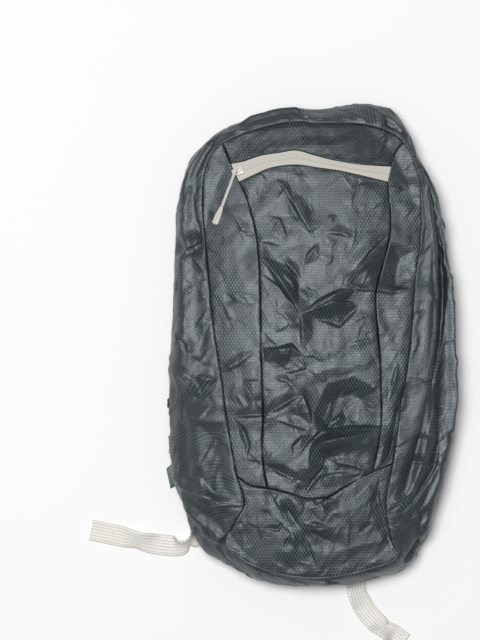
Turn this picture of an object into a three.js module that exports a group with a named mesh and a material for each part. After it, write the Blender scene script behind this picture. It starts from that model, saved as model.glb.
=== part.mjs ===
// Packable backpack of thin ripstop nylon, lying slack on its back with its front up.
// Millimetres, +Z up, +Y towards the top of the bag, origin under the middle of the back.
import * as THREE from 'three';

// Driving dimensions
const bagHeight = 450;
const bagWidth = 273;
const lyingDepth = 84;
const seamHeight = 66;
const rimHeight = 30;
const backEdgeHeight = 3.6;
const backEdgeInset = 15;
const clothWall = 1.2;
const seamGap = 0.3;
const panelGap = 0.4;
const backPanelGap = 1.1;
const zipTapeWidth = 9;
const pocketTapeDrop = 1.2;
const webbingWidth = 20;
const webbingWall = 1.5;
const strapWall = 5;
const strapWidth = 52;
const strapLiftMargin = 15;
const strapLiftFall = 24;
const buckleLength = 34;
const buckleWidth = 27;
const buckleWall = 3;
const buckleBar = 4;
const buckleSlot = 8;
const cordDiameter = 2.8;
const tipLength = 18;
const tipWidth = 6.4;
const sliderLength = 12;
const sliderWidth = 8;
const sliderWall = 3;
const loopWidth = 16;
const loopBow = 11;
const tabWall = 1.4;

const halfWidth = bagWidth / 2;
const halfHeight = bagHeight / 2;
const crownRise = lyingDepth - seamHeight;

// Stations round the bag, clockwise from the top left corner of the front.
// rimX, rimY: the widest line of the gusset. seamX, seamY: the seam between gusset and front.
// Shares of half the width and half the height, with the names of those where seams meet.
const stations = [
  { rimX: -0.60, rimY: 0.906, seamX: -0.62, seamY: 0.842, corner: 'topLeft' },
  { rimX: -0.18, rimY: 0.995, seamX: -0.175, seamY: 0.929 },
  { rimX: 0.03, rimY: 0.991, seamX: 0.03, seamY: 0.925 },
  { rimX: 0.34, rimY: 1.012, seamX: 0.31, seamY: 0.921 },
  { rimX: 0.55, rimY: 0.991, seamX: 0.515, seamY: 0.892 },
  { rimX: 0.665, rimY: 0.906, seamX: 0.624, seamY: 0.847, corner: 'topRight' },
  { rimX: 0.75, rimY: 0.78, seamX: 0.706, seamY: 0.76 },
  { rimX: 0.846, rimY: 0.653, seamX: 0.74, seamY: 0.635 },
  { rimX: 0.93, rimY: 0.463, seamX: 0.747, seamY: 0.469 },
  { rimX: 0.97, rimY: 0.231, seamX: 0.696, seamY: 0.233 },
  { rimX: 1.0, rimY: 0.0, seamX: 0.665, seamY: 0.0 },
  { rimX: 1.01, rimY: -0.233, seamX: 0.61, seamY: -0.227, corner: 'zipRight' },
  { rimX: 0.985, rimY: -0.38, seamX: 0.575, seamY: -0.36 },
  { rimX: 0.944, rimY: -0.51, seamX: 0.545, seamY: -0.49, corner: 'arcRight' },
  { rimX: 0.868, rimY: -0.675, seamX: 0.5, seamY: -0.658 },
  { rimX: 0.777, rimY: -0.828, seamX: 0.528, seamY: -0.788 },
  { rimX: 0.658, rimY: -0.929, seamX: 0.576, seamY: -0.873, corner: 'bottomRight' },
  { rimX: 0.373, rimY: -0.993, seamX: 0.323, seamY: -0.936 },
  { rimX: -0.01, rimY: -1.014, seamX: -0.032, seamY: -0.965 },
  { rimX: -0.344, rimY: -0.993, seamX: -0.333, seamY: -0.927 },
  { rimX: -0.60, rimY: -0.917, seamX: -0.592, seamY: -0.828, corner: 'bottomLeft' },
  { rimX: -0.747, rimY: -0.862, seamX: -0.544, seamY: -0.741 },
  { rimX: -0.9, rimY: -0.676, seamX: -0.469, seamY: -0.654 },
  { rimX: -0.963, rimY: -0.549, seamX: -0.517, seamY: -0.542, corner: 'arcLeft' },
  { rimX: -0.983, rimY: -0.36, seamX: -0.572, seamY: -0.36, corner: 'zipLeft' },
  { rimX: -0.983, rimY: -0.17, seamX: -0.62, seamY: -0.165 },
  { rimX: -0.963, rimY: 0.105, seamX: -0.684, seamY: 0.105 },
  { rimX: -0.956, rimY: 0.316, seamX: -0.715, seamY: 0.304 },
  { rimX: -0.935, rimY: 0.548, seamX: -0.749, seamY: 0.536 },
  { rimX: -0.886, rimY: 0.716, seamX: -0.749, seamY: 0.693 },
  { rimX: -0.775, rimY: 0.822, seamX: -0.708, seamY: 0.784 },
];
const cornerStation = (name) => stations.findIndex((row) => row.corner === name);
const topLeft = cornerStation('topLeft');
const topRight = cornerStation('topRight');
const arcRight = cornerStation('arcRight');
const bottomRight = cornerStation('bottomRight');
const bottomLeft = cornerStation('bottomLeft');
const arcLeft = cornerStation('arcLeft');
const cornerPart = 0.2;
const zipStart = cornerStation('zipLeft');
const zipEnd = stations.length + cornerStation('zipRight') + 5 / 3;

// Seams across the front, x and y as shares of half the width and half the height
const leftSeam = [
  [-0.62, 0.842], [-0.558, 0.754], [-0.503, 0.68], [-0.462, 0.626], [-0.422, 0.551], [-0.387, 0.456],
  [-0.367, 0.336], [-0.36, 0.229], [-0.353, -0.044], [-0.34, -0.288], [-0.347, -0.44], [-0.312, -0.591],
];
const rightSeam = [
  [0.624, 0.847], [0.574, 0.804], [0.54, 0.742], [0.516, 0.68], [0.52, 0.622], [0.533, 0.547],
  [0.526, 0.452], [0.479, 0.336], [0.431, 0.229], [0.431, 0.134], [0.458, -0.057], [0.465, -0.309],
  [0.451, -0.392], [0.404, -0.524],
];
const zipTopEdge = [
  [-0.558, 0.754], [-0.476, 0.763], [-0.353, 0.787], [-0.231, 0.798], [-0.115, 0.808], [0.015, 0.787],
  [0.145, 0.767], [0.322, 0.75], [0.54, 0.742],
];
const zipBottomEdge = [
  [-0.503, 0.68], [-0.415, 0.705], [-0.285, 0.738], [-0.115, 0.75], [0.035, 0.738], [0.185, 0.725],
  [0.308, 0.709], [0.516, 0.68],
];
const arcSeam = [
  [-0.517, -0.542], [-0.435, -0.578], [-0.312, -0.591], [-0.162, -0.611], [-0.033, -0.632],
  [0.097, -0.628], [0.199, -0.591], [0.308, -0.555], [0.404, -0.524], [0.545, -0.49],
];
// Folds on the front, from one end to the other: places as shares of half the width and height,
// width as a share of half the width, rise as a share of the lying depth.
const frontFolds = [
  { x0: -0.36, y0: 0.34, x1: -0.09, y1: 0.13, width: 0.12, rise: 0.045 },
  { x0: -0.30, y0: 0.39, x1: -0.06, y1: 0.22, width: 0.10, rise: -0.035 },
  { x0: 0.54, y0: 0.45, x1: 0.24, y1: 0.28, width: 0.11, rise: 0.04 },
  { x0: 0.44, y0: 0.33, x1: 0.32, y1: 0.27, width: 0.14, rise: -0.05 },
  { x0: 0.22, y0: 0.255, x1: -0.08, y1: 0.125, width: 0.12, rise: 0.045 },
  { x0: 0.02, y0: 0.13, x1: 0.26, y1: 0.15, width: 0.12, rise: -0.05 },
  { x0: -0.07, y0: 0.12, x1: -0.07, y1: -0.05, width: 0.10, rise: 0.035 },
  { x0: -0.30, y0: -0.03, x1: -0.10, y1: -0.09, width: 0.14, rise: -0.05 },
  { x0: -0.27, y0: -0.28, x1: -0.10, y1: -0.21, width: 0.10, rise: 0.05 },
  { x0: -0.10, y0: -0.21, x1: -0.01, y1: -0.35, width: 0.10, rise: 0.05 },
  { x0: 0.13, y0: -0.20, x1: 0.34, y1: -0.31, width: 0.26, rise: -0.10 },
  { x0: -0.03, y0: -0.50, x1: 0.10, y1: -0.40, width: 0.10, rise: 0.05 },
  { x0: 0.10, y0: -0.40, x1: 0.42, y1: -0.36, width: 0.10, rise: 0.06 },
  { x0: 0.12, y0: -0.46, x1: 0.38, y1: -0.44, width: 0.12, rise: -0.06 },
  { x0: 0.08, y0: -0.48, x1: -0.05, y1: -0.61, width: 0.10, rise: -0.06 },
  { x0: -0.28, y0: -0.52, x1: -0.08, y1: -0.60, width: 0.10, rise: -0.05 },
  { x0: -0.27, y0: -0.63, x1: -0.06, y1: -0.77, width: 0.09, rise: -0.045 },
  { x0: -0.05, y0: -0.65, x1: -0.18, y1: -0.85, width: 0.10, rise: 0.045 },
  { x0: -0.05, y0: -0.74, x1: 0.14, y1: -0.76, width: 0.10, rise: 0.04 },
  { x0: 0.02, y0: -0.80, x1: 0.14, y1: -0.82, width: 0.12, rise: -0.05 },
  { x0: -0.56, y0: -0.23, x1: -0.36, y1: -0.24, width: 0.12, rise: -0.05 },
  { x0: -0.58, y0: -0.30, x1: -0.34, y1: -0.31, width: 0.10, rise: 0.035 },
  { x0: 0.26, y0: 0.25, x1: 0.66, y1: 0.21, width: 0.10, rise: 0.035 },
  { x0: 0.56, y0: 0.31, x1: 0.66, y1: 0.30, width: 0.12, rise: -0.04 },
];

// Folds in the gusset, from one end to the other: place as station and share of the way from the
// back edge to the front seam, width and rise as shares of the lying depth.
const gussetFolds = [
  { station0: 8.3, way0: 0.76, station1: 10.6, way1: 0.76, width: 0.13, rise: -0.15 },
  { station0: 10.6, way0: 0.76, station1: 12.2, way1: 0.82, width: 0.13, rise: -0.15 },
  { station0: 12.2, way0: 0.82, station1: 13.7, way1: 0.88, width: 0.12, rise: -0.11 },
  { station0: 12.1, way0: 0.62, station1: 13.7, way1: 0.74, width: 0.11, rise: -0.08 },
  { station0: 8.8, way0: 0.60, station1: 11.8, way1: 0.58, width: 0.12, rise: 0.05 },
  { station0: 15.1, way0: 0.60, station1: 15.8, way1: 0.70, width: 0.12, rise: -0.09 },
  { station0: 21.9, way0: 0.60, station1: 20.8, way1: 0.84, width: 0.11, rise: 0.05 },
  { station0: 22.9, way0: 0.52, station1: 22.1, way1: 0.88, width: 0.11, rise: 0.06 },
  { station0: 24.1, way0: 0.87, station1: 22.6, way1: 0.84, width: 0.11, rise: -0.07 },
  { station0: 24.1, way0: 0.68, station1: 22.8, way1: 0.66, width: 0.11, rise: -0.06 },
  { station0: 24.9, way0: 0.50, station1: 24.7, way1: 0.92, width: 0.14, rise: -0.07 },
  { station0: 25.3, way0: 0.46, station1: 25.2, way1: 0.92, width: 0.12, rise: 0.05 },
  { station0: 27.4, way0: 0.52, station1: 27.5, way1: 0.92, width: 0.12, rise: -0.07 },
  { station0: 0.5, way0: 0.72, station1: 1.3, way1: 0.72, width: 0.14, rise: 0.05 },
  { station0: 4.0, way0: 0.86, station1: 4.7, way1: 0.86, width: 0.10, rise: -0.04 },
];

// Straps under the back, from the top of the bag down: shares of half the width and height
const strapRoute = [[0.24, 0.80], [0.34, 0.62], [0.52, 0.36], [0.60, 0.10], [0.61, -0.08], [0.68, -0.24]];
const strapNarrowShare = 0.6;
const strapSteps = 16;
// Each side's anchor end on the floor, the tab that holds it, and the tail out from the buckle
const leftAnchor = [-1.015, -0.60];
const rightAnchor = [0.85, -0.62];
const leftTab = { station0: 22.75, station1: 23.5, tip0: [-1.03, -0.585], tip1: [-1.0, -0.545] };
const rightTab = { station0: 13.2, station1: 13.95, tip0: [0.87, -0.545], tip1: [0.86, -0.60] };
const leftTail = [
  [-0.745, -0.56], [-0.72, -0.68], [-0.80, -0.813], [-0.912, -0.857], [-1.06, -0.855], [-1.243, -0.831],
  [-1.545, -0.793],
];
const rightTail = [
  [0.60, -0.52], [0.42, -0.76], [0.325, -0.95], [0.327, -1.057], [0.363, -1.109], [0.419, -1.16],
  [0.489, -1.20], [0.573, -1.237], [0.66, -1.275],
];
const loopEnds = [[-0.26, 0.905], [0.26, 0.905]];
const sliderPlace = [-0.51, 0.722];

// The pull cord's route from the slider down the left of the front
const cordRoute = [
  [-71.0, 165.3, 70.0], [-72.0, 162.8, 70.2], [-72.9, 160.2, 70.4], [-73.9, 157.7, 70.2],
  [-74.9, 155.1, 69.4], [-75.9, 152.6, 68.5], [-76.8, 150.0, 67.9], [-77.8, 147.5, 67.7],
  [-78.8, 145.0, 67.7], [-79.7, 142.4, 67.8], [-80.7, 139.9, 67.9], [-81.7, 137.3, 67.9],
  [-82.7, 134.8, 67.9], [-83.6, 132.2, 68.0], [-84.6, 129.7, 68.0],
];
const cordSides = 8;
const cordSteps = 8;

const nylon = new THREE.MeshStandardMaterial({ color: 0x5f6669, roughness: 0.6, metalness: 0 });
const nylonDark = new THREE.MeshStandardMaterial({ color: 0x4d5457, roughness: 0.6, metalness: 0 });
const zipTape = new THREE.MeshStandardMaterial({ color: 0xcdcbc1, roughness: 0.7, metalness: 0 });
const darkTape = new THREE.MeshStandardMaterial({ color: 0x3a4145, roughness: 0.7, metalness: 0 });
const webbing = new THREE.MeshStandardMaterial({ color: 0xe2e1db, roughness: 0.85, metalness: 0 });
const strapMesh = new THREE.MeshStandardMaterial({ color: 0x4a5154, roughness: 0.9, metalness: 0 });
const plastic = new THREE.MeshStandardMaterial({ color: 0xb9b7ae, roughness: 0.45, metalness: 0 });

const along = (from, to, count) =>
  Array.from({ length: count + 1 }, (_, i) => from + ((to - from) * i) / count);

const atShares = ([x, y]) => new THREE.Vector3(x * halfWidth, y * halfHeight, 0);

const smoothCurve = (points, closed = false) => new THREE.CatmullRomCurve3(points, closed, 'centripetal');

const rimCurve = smoothCurve(stations.map((row) => atShares([row.rimX, row.rimY])), true);
const seamCurve = smoothCurve(stations.map((row) => atShares([row.seamX, row.seamY])), true);

const atStation = (curve, station) => {
  const share = station / stations.length;
  return curve.getPoint(share - Math.floor(share));
};

// How far up a fold stands at a point: a rounded ridge along a segment, level 0 past its width
function foldShape(x, y, x0, y0, x1, y1, width) {
  const runX = x1 - x0;
  const runY = y1 - y0;
  const share = ((x - x0) * runX + (y - y0) * runY) / (runX * runX + runY * runY);
  const near = THREE.MathUtils.clamp(share, 0, 1);
  const distance = Math.hypot(x - x0 - runX * near, y - y0 - runY * near) / width;
  return distance < 1 ? 0.5 + 0.5 * Math.cos(Math.PI * distance) : 0;
}

// Height of the front's outer face over the floor
function frontHeight(x, y) {
  const across = x / halfWidth;
  const up = y / halfHeight;
  const fall = Math.min(1, Math.abs(across / 0.78) ** 2.4 + Math.abs(up / 0.96) ** 3);
  const slump = -0.07 * up;
  const folds = frontFolds.map((fold) => {
    const shape = foldShape(
      x, y, fold.x0 * halfWidth, fold.y0 * halfHeight, fold.x1 * halfWidth, fold.y1 * halfHeight,
      fold.width * halfWidth,
    );
    return shape * fold.rise * lyingDepth;
  });
  return seamHeight + crownRise * (1 - fall) + (slump * lyingDepth) + folds.reduce((a, b) => a + b, 0);
}

const rimShare = 0.4;
const gussetTurn = THREE.MathUtils.degToRad(75);
const gussetGirth = backEdgeInset + rimHeight + seamHeight;
const stationLength = (bagHeight + bagWidth) * 1.6 / stations.length;

const planInward = (station) => {
  const step = 0.05;
  const run = atStation(rimCurve, station + step).sub(atStation(rimCurve, station - step)).normalize();
  return new THREE.Vector3(run.y, -run.x, 0);
};

// The back edge: the rim line moved in under the bag
const backEdge = (station) => {
  const point = atStation(rimCurve, station).addScaledVector(planInward(station), backEdgeInset);
  return point.setZ(Math.max(backEdgeHeight, backHeight(point.x, point.y)));
};

// The gusset without folds, from the back edge at way 0 round the rim to the front seam at way 1
function plainGusset(station, way) {
  const rim = atStation(rimCurve, station).setZ(rimHeight);
  if (way < rimShare) {
    const turn = (way / rimShare) * Math.PI / 2;
    const edge = backEdge(station);
    const point = edge.clone().lerp(rim, Math.sin(turn));
    return point.setZ(edge.z + (rim.z - edge.z) * (1 - Math.cos(turn)));
  }
  const seam = atStation(seamCurve, station);
  const turn = ((way - rimShare) / (1 - rimShare)) * gussetTurn;
  const point = rim.clone().lerp(seam, (1 - Math.cos(turn)) / (1 - Math.cos(gussetTurn)));
  const top = frontHeight(seam.x, seam.y);
  return point.setZ(rim.z + (top - rim.z) * Math.sin(turn) / Math.sin(gussetTurn));
}

function outwardNormal(surface, station, way) {
  const step = 0.02;
  const round = surface(station + step, way).sub(surface(station - step, way));
  const high = Math.min(1, way + step);
  const low = Math.max(0, way - step);
  const over = surface(station, high).sub(surface(station, low));
  return over.cross(round).normalize();
}

function foldedGusset(station, way) {
  const turned = station >= stations.length ? station - stations.length : station;
  const settle = Math.min(1, (1 - way) * 10);
  const rises = gussetFolds.map((fold) => foldShape(
    turned * stationLength, way * gussetGirth,
    fold.station0 * stationLength, fold.way0 * gussetGirth,
    fold.station1 * stationLength, fold.way1 * gussetGirth,
    fold.width * lyingDepth,
  ) * fold.rise * lyingDepth);
  const rise = rises.reduce((a, b) => a + b, 0) * settle;
  const point = plainGusset(station, way);
  return rise === 0 ? point : point.addScaledVector(outwardNormal(plainGusset, station, way), rise);
}

// A closed sheet of cloth between an outer and an inner grid of points
function closedSheet(outer, inner) {
  const rows = outer.length;
  const columns = outer[0].length;
  const vertices = [...outer.flat(), ...inner.flat()].flatMap((point) => [point.x, point.y, point.z]);
  const innerStart = rows * columns;
  const faces = [];
  const addQuad = (a, b, c, d) => faces.push(a, b, c, a, c, d);
  for (let i = 0; i < rows - 1; i += 1) {
    for (let j = 0; j < columns - 1; j += 1) {
      const corner = i * columns + j;
      addQuad(corner, corner + 1, corner + columns + 1, corner + columns);
      const under = innerStart + corner;
      addQuad(under, under + columns, under + columns + 1, under + 1);
    }
  }
  const border = [];
  for (let j = 0; j < columns - 1; j += 1) border.push(j);
  for (let i = 0; i < rows - 1; i += 1) border.push(i * columns + columns - 1);
  for (let j = columns - 1; j > 0; j -= 1) border.push((rows - 1) * columns + j);
  for (let i = rows - 1; i > 0; i -= 1) border.push(i * columns);
  border.forEach((from, i) => {
    const to = border[(i + 1) % border.length];
    addQuad(to, from, from + innerStart, to + innerStart);
  });
  const geometry = new THREE.BufferGeometry();
  geometry.setAttribute('position', new THREE.Float32BufferAttribute(vertices, 3));
  geometry.setIndex(faces);
  return volumeOf(geometry) < 0 ? turnedOver(geometry) : geometry;
}

function volumeOf(geometry) {
  const position = geometry.getAttribute('position');
  const index = geometry.getIndex().array;
  const [a, b, c] = [new THREE.Vector3(), new THREE.Vector3(), new THREE.Vector3()];
  let volume = 0;
  for (let i = 0; i < index.length; i += 3) {
    a.fromBufferAttribute(position, index[i]);
    b.fromBufferAttribute(position, index[i + 1]);
    c.fromBufferAttribute(position, index[i + 2]);
    volume += a.dot(b.cross(c)) / 6;
  }
  return volume;
}

function turnedOver(geometry) {
  geometry.setIndex([...geometry.getIndex().array].reverse());
  return geometry;
}

// A piece of the gusset between two stations and two shares of the way over it
function gussetPiece(stationList, wayList) {
  const outer = stationList.map((station) => wayList.map((way) => foldedGusset(station, way)));
  const inner = stationList.map((station, i) => wayList.map((way, j) => {
    const point = outer[i][j].clone();
    if (way === 0) return point.setZ(point.z + clothWall);
    if (way === 1) return point.setZ(point.z - clothWall);
    return point.addScaledVector(outwardNormal(foldedGusset, station, way), -clothWall);
  }));
  return closedSheet(outer, inner);
}

// Points of a four-sided piece filled between its edges, moved in from its edges by a gap
function filledPlan(edges, rows, columns, gap) {
  const grid = along(0, 1, rows).map((up) => along(0, 1, columns).map((across) => {
    const point = new THREE.Vector3();
    point.addScaledVector(edges.bottom(across), 1 - up).addScaledVector(edges.top(across), up);
    point.addScaledVector(edges.left(up), 1 - across).addScaledVector(edges.right(up), across);
    point.addScaledVector(edges.bottom(0), -(1 - across) * (1 - up));
    point.addScaledVector(edges.bottom(1), -across * (1 - up));
    point.addScaledVector(edges.top(0), -(1 - across) * up);
    point.addScaledVector(edges.top(1), -across * up);
    return point;
  }));
  const pull = (point, towards) => {
    const run = towards.clone().sub(point);
    return point.addScaledVector(run.normalize(), gap);
  };
  grid.forEach((row) => {
    pull(row[0], row[1]);
    pull(row[columns], row[columns - 1]);
  });
  for (let j = 0; j <= columns; j += 1) {
    pull(grid[0][j], grid[1][j]);
    pull(grid[rows][j], grid[rows - 1][j]);
  }
  pull(grid[0][0], grid[1][1]);
  pull(grid[0][columns], grid[1][columns - 1]);
  pull(grid[rows][0], grid[rows - 1][1]);
  pull(grid[rows][columns], grid[rows - 1][columns - 1]);
  return grid;
}

// A panel that lies over a plan grid at a height, its wall hanging straight down from it
function panelOver(grid, heightAt, wall) {
  const outer = grid.map((row) => row.map((point) => point.clone().setZ(heightAt(point.x, point.y))));
  const inner = outer.map((row) => row.map((point) => {
    const step = 2;
    const slopeX = (heightAt(point.x + step, point.y) - heightAt(point.x - step, point.y)) / (2 * step);
    const slopeY = (heightAt(point.x, point.y + step) - heightAt(point.x, point.y - step)) / (2 * step);
    const lean = Math.min(2, Math.hypot(1, slopeX, slopeY));
    return point.clone().setZ(point.z - wall * lean);
  }));
  return closedSheet(outer, inner);
}

const edgeOf = (points) => {
  const curve = smoothCurve(points.map(atShares));
  return (share) => curve.getPointAt(share);
};
const placeIn = (seam, [x, y]) => seam.findIndex((point) => point[0] === x && point[1] === y);
const upTo = (seam, point) => seam.slice(0, placeIn(seam, point) + 1);
const from = (seam, point) => seam.slice(placeIn(seam, point));
const reversed = (edge) => (share) => edge(1 - share);
const onSeam = (from, to) => (share) => atStation(seamCurve, from + (to - from) * share);

const stationCount = stations.length;
const frontPieces = [
  {
    name: 'front_top_yoke', material: nylonDark, rows: 4, columns: 15, drop: 0,
    edges: {
      top: onSeam(topLeft, topRight), bottom: edgeOf(zipTopEdge),
      left: reversed(edgeOf(upTo(leftSeam, zipTopEdge[0]))),
      right: reversed(edgeOf(upTo(rightSeam, zipTopEdge.at(-1)))),
    },
  },
  {
    name: 'pocket_zip_tape', material: zipTape, rows: 2, columns: 18, drop: pocketTapeDrop,
    edges: {
      top: edgeOf(zipTopEdge), bottom: edgeOf(zipBottomEdge),
      left: reversed(edgeOf(upTo(from(leftSeam, zipTopEdge[0]), zipBottomEdge[0]))),
      right: reversed(edgeOf(upTo(from(rightSeam, zipTopEdge.at(-1)), zipBottomEdge.at(-1)))),
    },
  },
  {
    name: 'front_centre_panel', material: nylon, rows: 27, columns: 11, drop: 0,
    edges: {
      top: edgeOf(zipBottomEdge), bottom: edgeOf(upTo(from(arcSeam, leftSeam.at(-1)), rightSeam.at(-1))),
      left: reversed(edgeOf(from(leftSeam, zipBottomEdge[0]))),
      right: reversed(edgeOf(from(rightSeam, zipBottomEdge.at(-1)))),
    },
  },
  {
    name: 'front_left_strip', material: nylon, rows: 27, columns: 4, drop: 0,
    edges: {
      top: onSeam(stationCount - cornerPart, stationCount),
      bottom: edgeOf(upTo(arcSeam, leftSeam.at(-1))),
      left: onSeam(arcLeft, stationCount - cornerPart), right: reversed(edgeOf(leftSeam)),
    },
  },
  {
    name: 'front_right_strip', material: nylon, rows: 27, columns: 4, drop: 0,
    edges: {
      top: onSeam(topRight, topRight + cornerPart), bottom: edgeOf(from(arcSeam, rightSeam.at(-1))),
      left: reversed(edgeOf(rightSeam)), right: onSeam(arcRight, topRight + cornerPart),
    },
  },
  {
    name: 'front_bottom_panel', material: nylonDark, rows: 9, columns: 12, drop: 0,
    edges: {
      top: edgeOf(arcSeam), bottom: onSeam(bottomLeft, bottomRight),
      left: onSeam(bottomLeft, arcLeft), right: onSeam(bottomRight, arcRight),
    },
  },
];

function makeFrontPiece(piece) {
  const grid = filledPlan(piece.edges, piece.rows, piece.columns, panelGap);
  const height = (x, y) => frontHeight(x, y) - piece.drop;
  return panelOver(grid, height, clothWall);
}

const waySeam = seamGap / gussetGirth;
const stationSeam = 2.5 * seamGap / stationLength;
const wayZip = 0.25;
const wayZipFar = wayZip + zipTapeWidth / gussetGirth;
const stepsPerStation = 3;
const bandSteps = Math.round((zipEnd - zipStart) * stepsPerStation);
const bottomSteps = Math.round((zipStart - zipEnd + stationCount) * stepsPerStation);
const bandStations = along(zipStart, zipEnd, bandSteps);
const bottomStations = along(zipEnd - stationCount + stationSeam, zipStart - stationSeam, bottomSteps);
const bandWays = [wayZipFar + waySeam, 0.45, 0.56, 0.66, 0.76, 0.84, 0.92, 1];
const bottomWays = [0, 0.12, 0.25, 0.38, 0.5, 0.6, 0.7, 0.8, 0.9, 1];

const mirrored = (route) => route.map(([x, y]) => [-x, y]);
const webbingMiddle = webbingWall / 2;
const barUnder = webbingWall + seamGap;
const crossing = barUnder + webbingMiddle;
const overBar = barUnder + buckleWall + seamGap + webbingMiddle;

const strapCurve = (side) => {
  const route = side > 0 ? strapRoute : mirrored(strapRoute);
  return smoothCurve(route.map(atShares).map((point) => point.setZ(strapWall / 2)));
};

const strapHalfWidth = (share) => {
  const swell = Math.sin(Math.PI * Math.min(1, share * 0.9 + 0.08)) ** 0.7;
  return (strapWidth / 2) * (strapNarrowShare + (1 - strapNarrowShare) * swell);
};

// The buckle past the strap's end, the webbing's anchor end and its tail on the floor
function webbingPlaces(side) {
  const strapEnd = strapCurve(side).getPointAt(1).setZ(0);
  const run = strapCurve(side).getTangentAt(1);
  const buckle = strapEnd.clone().addScaledVector(run, buckleLength / 2 + seamGap);
  return {
    buckle,
    run,
    anchor: atShares(side < 0 ? leftAnchor : rightAnchor),
    tail: (side < 0 ? leftTail : rightTail).map(atShares),
  };
}

// What lies between the floor and the back: spots with a half width and a height
function spotsUnderBack() {
  const spots = [];
  const addRun = (from, to, half, height) => along(0, 1, 8).forEach((share) => {
    const point = from.clone().lerp(to, share);
    spots.push({ x: point.x, y: point.y, half, height });
  });
  const [loopStart, loopEnd] = loopEnds.map(atShares);
  addRun(loopStart, loopEnd, loopWidth / 2, webbingWall);
  [-1, 1].forEach((side) => {
    const curve = strapCurve(side);
    along(0, 1, 24).forEach((share) => {
      const point = curve.getPointAt(share);
      spots.push({ x: point.x, y: point.y, half: strapHalfWidth(share), height: strapWall });
    });
    const { buckle, anchor, tail } = webbingPlaces(side);
    const stacked = overBar + webbingMiddle;
    addRun(buckle, tail[0], buckleWidth / 2, stacked);
    addRun(buckle, anchor, webbingWidth / 2, barUnder);
    addRun(tail[0], tail[1], webbingWidth / 2, crossing + webbingMiddle);
    tail.slice(2).forEach((point, i) => addRun(tail[i + 1], point, webbingWidth / 2, barUnder));
  });
  return spots;
}

const underBack = spotsUnderBack();
// Height of the back panel's lower face: on the floor, lifted over what lies under it
function backHeight(x, y) {
  let lift = 0;
  underBack.forEach((spot) => {
    const distance = Math.hypot(x - spot.x, y - spot.y) - spot.half - strapLiftMargin;
    const share = 1 - THREE.MathUtils.smoothstep(distance, 0, strapLiftFall);
    lift = Math.max(lift, (spot.height + seamGap) * share);
  });
  return lift;
}

const rimFall = 26;
const backRim = along(0, stationCount, 120).map((station) => backEdge(station));
// The back panel's lower face, drawn up to the back edge all round
function backLower(x, y) {
  const distance = Math.min(...backRim.map((point) => Math.hypot(point.x - x, point.y - y)));
  const share = 1 - THREE.MathUtils.smoothstep(distance, 1, rimFall);
  return Math.max(backHeight(x, y), backEdgeHeight * share);
}

function makeBackPanel() {
  const edge = (from, to) => (share) => {
    const point = backEdge(from + (to - from) * share);
    return point.setZ(0);
  };
  const edges = {
    top: edge(stationCount, stationCount + topRight), bottom: edge(bottomLeft, bottomRight),
    left: edge(bottomLeft, stationCount), right: edge(bottomRight, topRight),
  };
  const rows = (stationCount - bottomLeft) * stepsPerStation;
  const columns = 12;
  const grid = filledPlan(edges, rows, columns, backPanelGap);
  const under = grid.map((row) => row.map((point) => point.clone().setZ(backLower(point.x, point.y))));
  const over = under.map((row) => row.map((point) => point.clone().setZ(point.z + clothWall)));
  return closedSheet(over, under);
}

// A strap of a width and a thickness along points, each with the direction across it
function ribbon(points, acrossList, widthList, wall, columns = 2) {
  const sides = [wall / 2, -wall / 2].map((offset) => points.map((point, i) => {
    const before = points[Math.max(0, i - 1)];
    const after = points[Math.min(points.length - 1, i + 1)];
    const run = after.clone().sub(before).normalize();
    const across = acrossList[i].clone().addScaledVector(run, -acrossList[i].dot(run)).normalize();
    const normal = run.clone().cross(across);
    return along(-0.5, 0.5, columns).map((share) => point.clone()
      .addScaledVector(across, share * widthList[i]).addScaledVector(normal, offset));
  }));
  return closedSheet(sides[0], sides[1]);
}

function levelAcross(points, flipFrom = Infinity) {
  return points.map((point, i) => {
    const before = points[Math.max(0, i - 1)];
    const after = points[Math.min(points.length - 1, i + 1)];
    const run = after.clone().sub(before);
    const across = new THREE.Vector3(-run.y, run.x, 0).normalize();
    return i >= flipFrom ? across.negate() : across;
  });
}

function makeShoulderStrap(side) {
  const curve = strapCurve(side);
  const shares = along(0, 1, strapSteps);
  const points = shares.map((share) => curve.getPointAt(share));
  const widths = shares.map((share) => 2 * strapHalfWidth(share));
  return ribbon(points, levelAcross(points), widths, strapWall, 2);
}

function makeBuckle() {
  const outline = roundedPlate(buckleWidth, buckleLength, 3);
  const lowerSlot = -buckleLength / 2 + buckleBar + buckleSlot / 2;
  [lowerSlot, -lowerSlot].forEach((middle) => {
    outline.holes.push(roundedPlate(webbingWidth + 3, buckleSlot, 1, middle, THREE.Path));
  });
  return new THREE.ExtrudeGeometry(outline, { depth: buckleWall, bevelEnabled: false, curveSegments: 3 });
}

function roundedPlate(width, length, corner, middle = 0, Kind = THREE.Shape) {
  const plate = new Kind();
  const right = width / 2;
  const top = middle + length / 2;
  const bottom = middle - length / 2;
  plate.moveTo(-right + corner, bottom);
  plate.lineTo(right - corner, bottom);
  plate.quadraticCurveTo(right, bottom, right, bottom + corner);
  plate.lineTo(right, top - corner);
  plate.quadraticCurveTo(right, top, right - corner, top);
  plate.lineTo(-right + corner, top);
  plate.quadraticCurveTo(-right, top, -right, top - corner);
  plate.lineTo(-right, bottom + corner);
  plate.quadraticCurveTo(-right, bottom, -right + corner, bottom);
  return plate;
}

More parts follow.
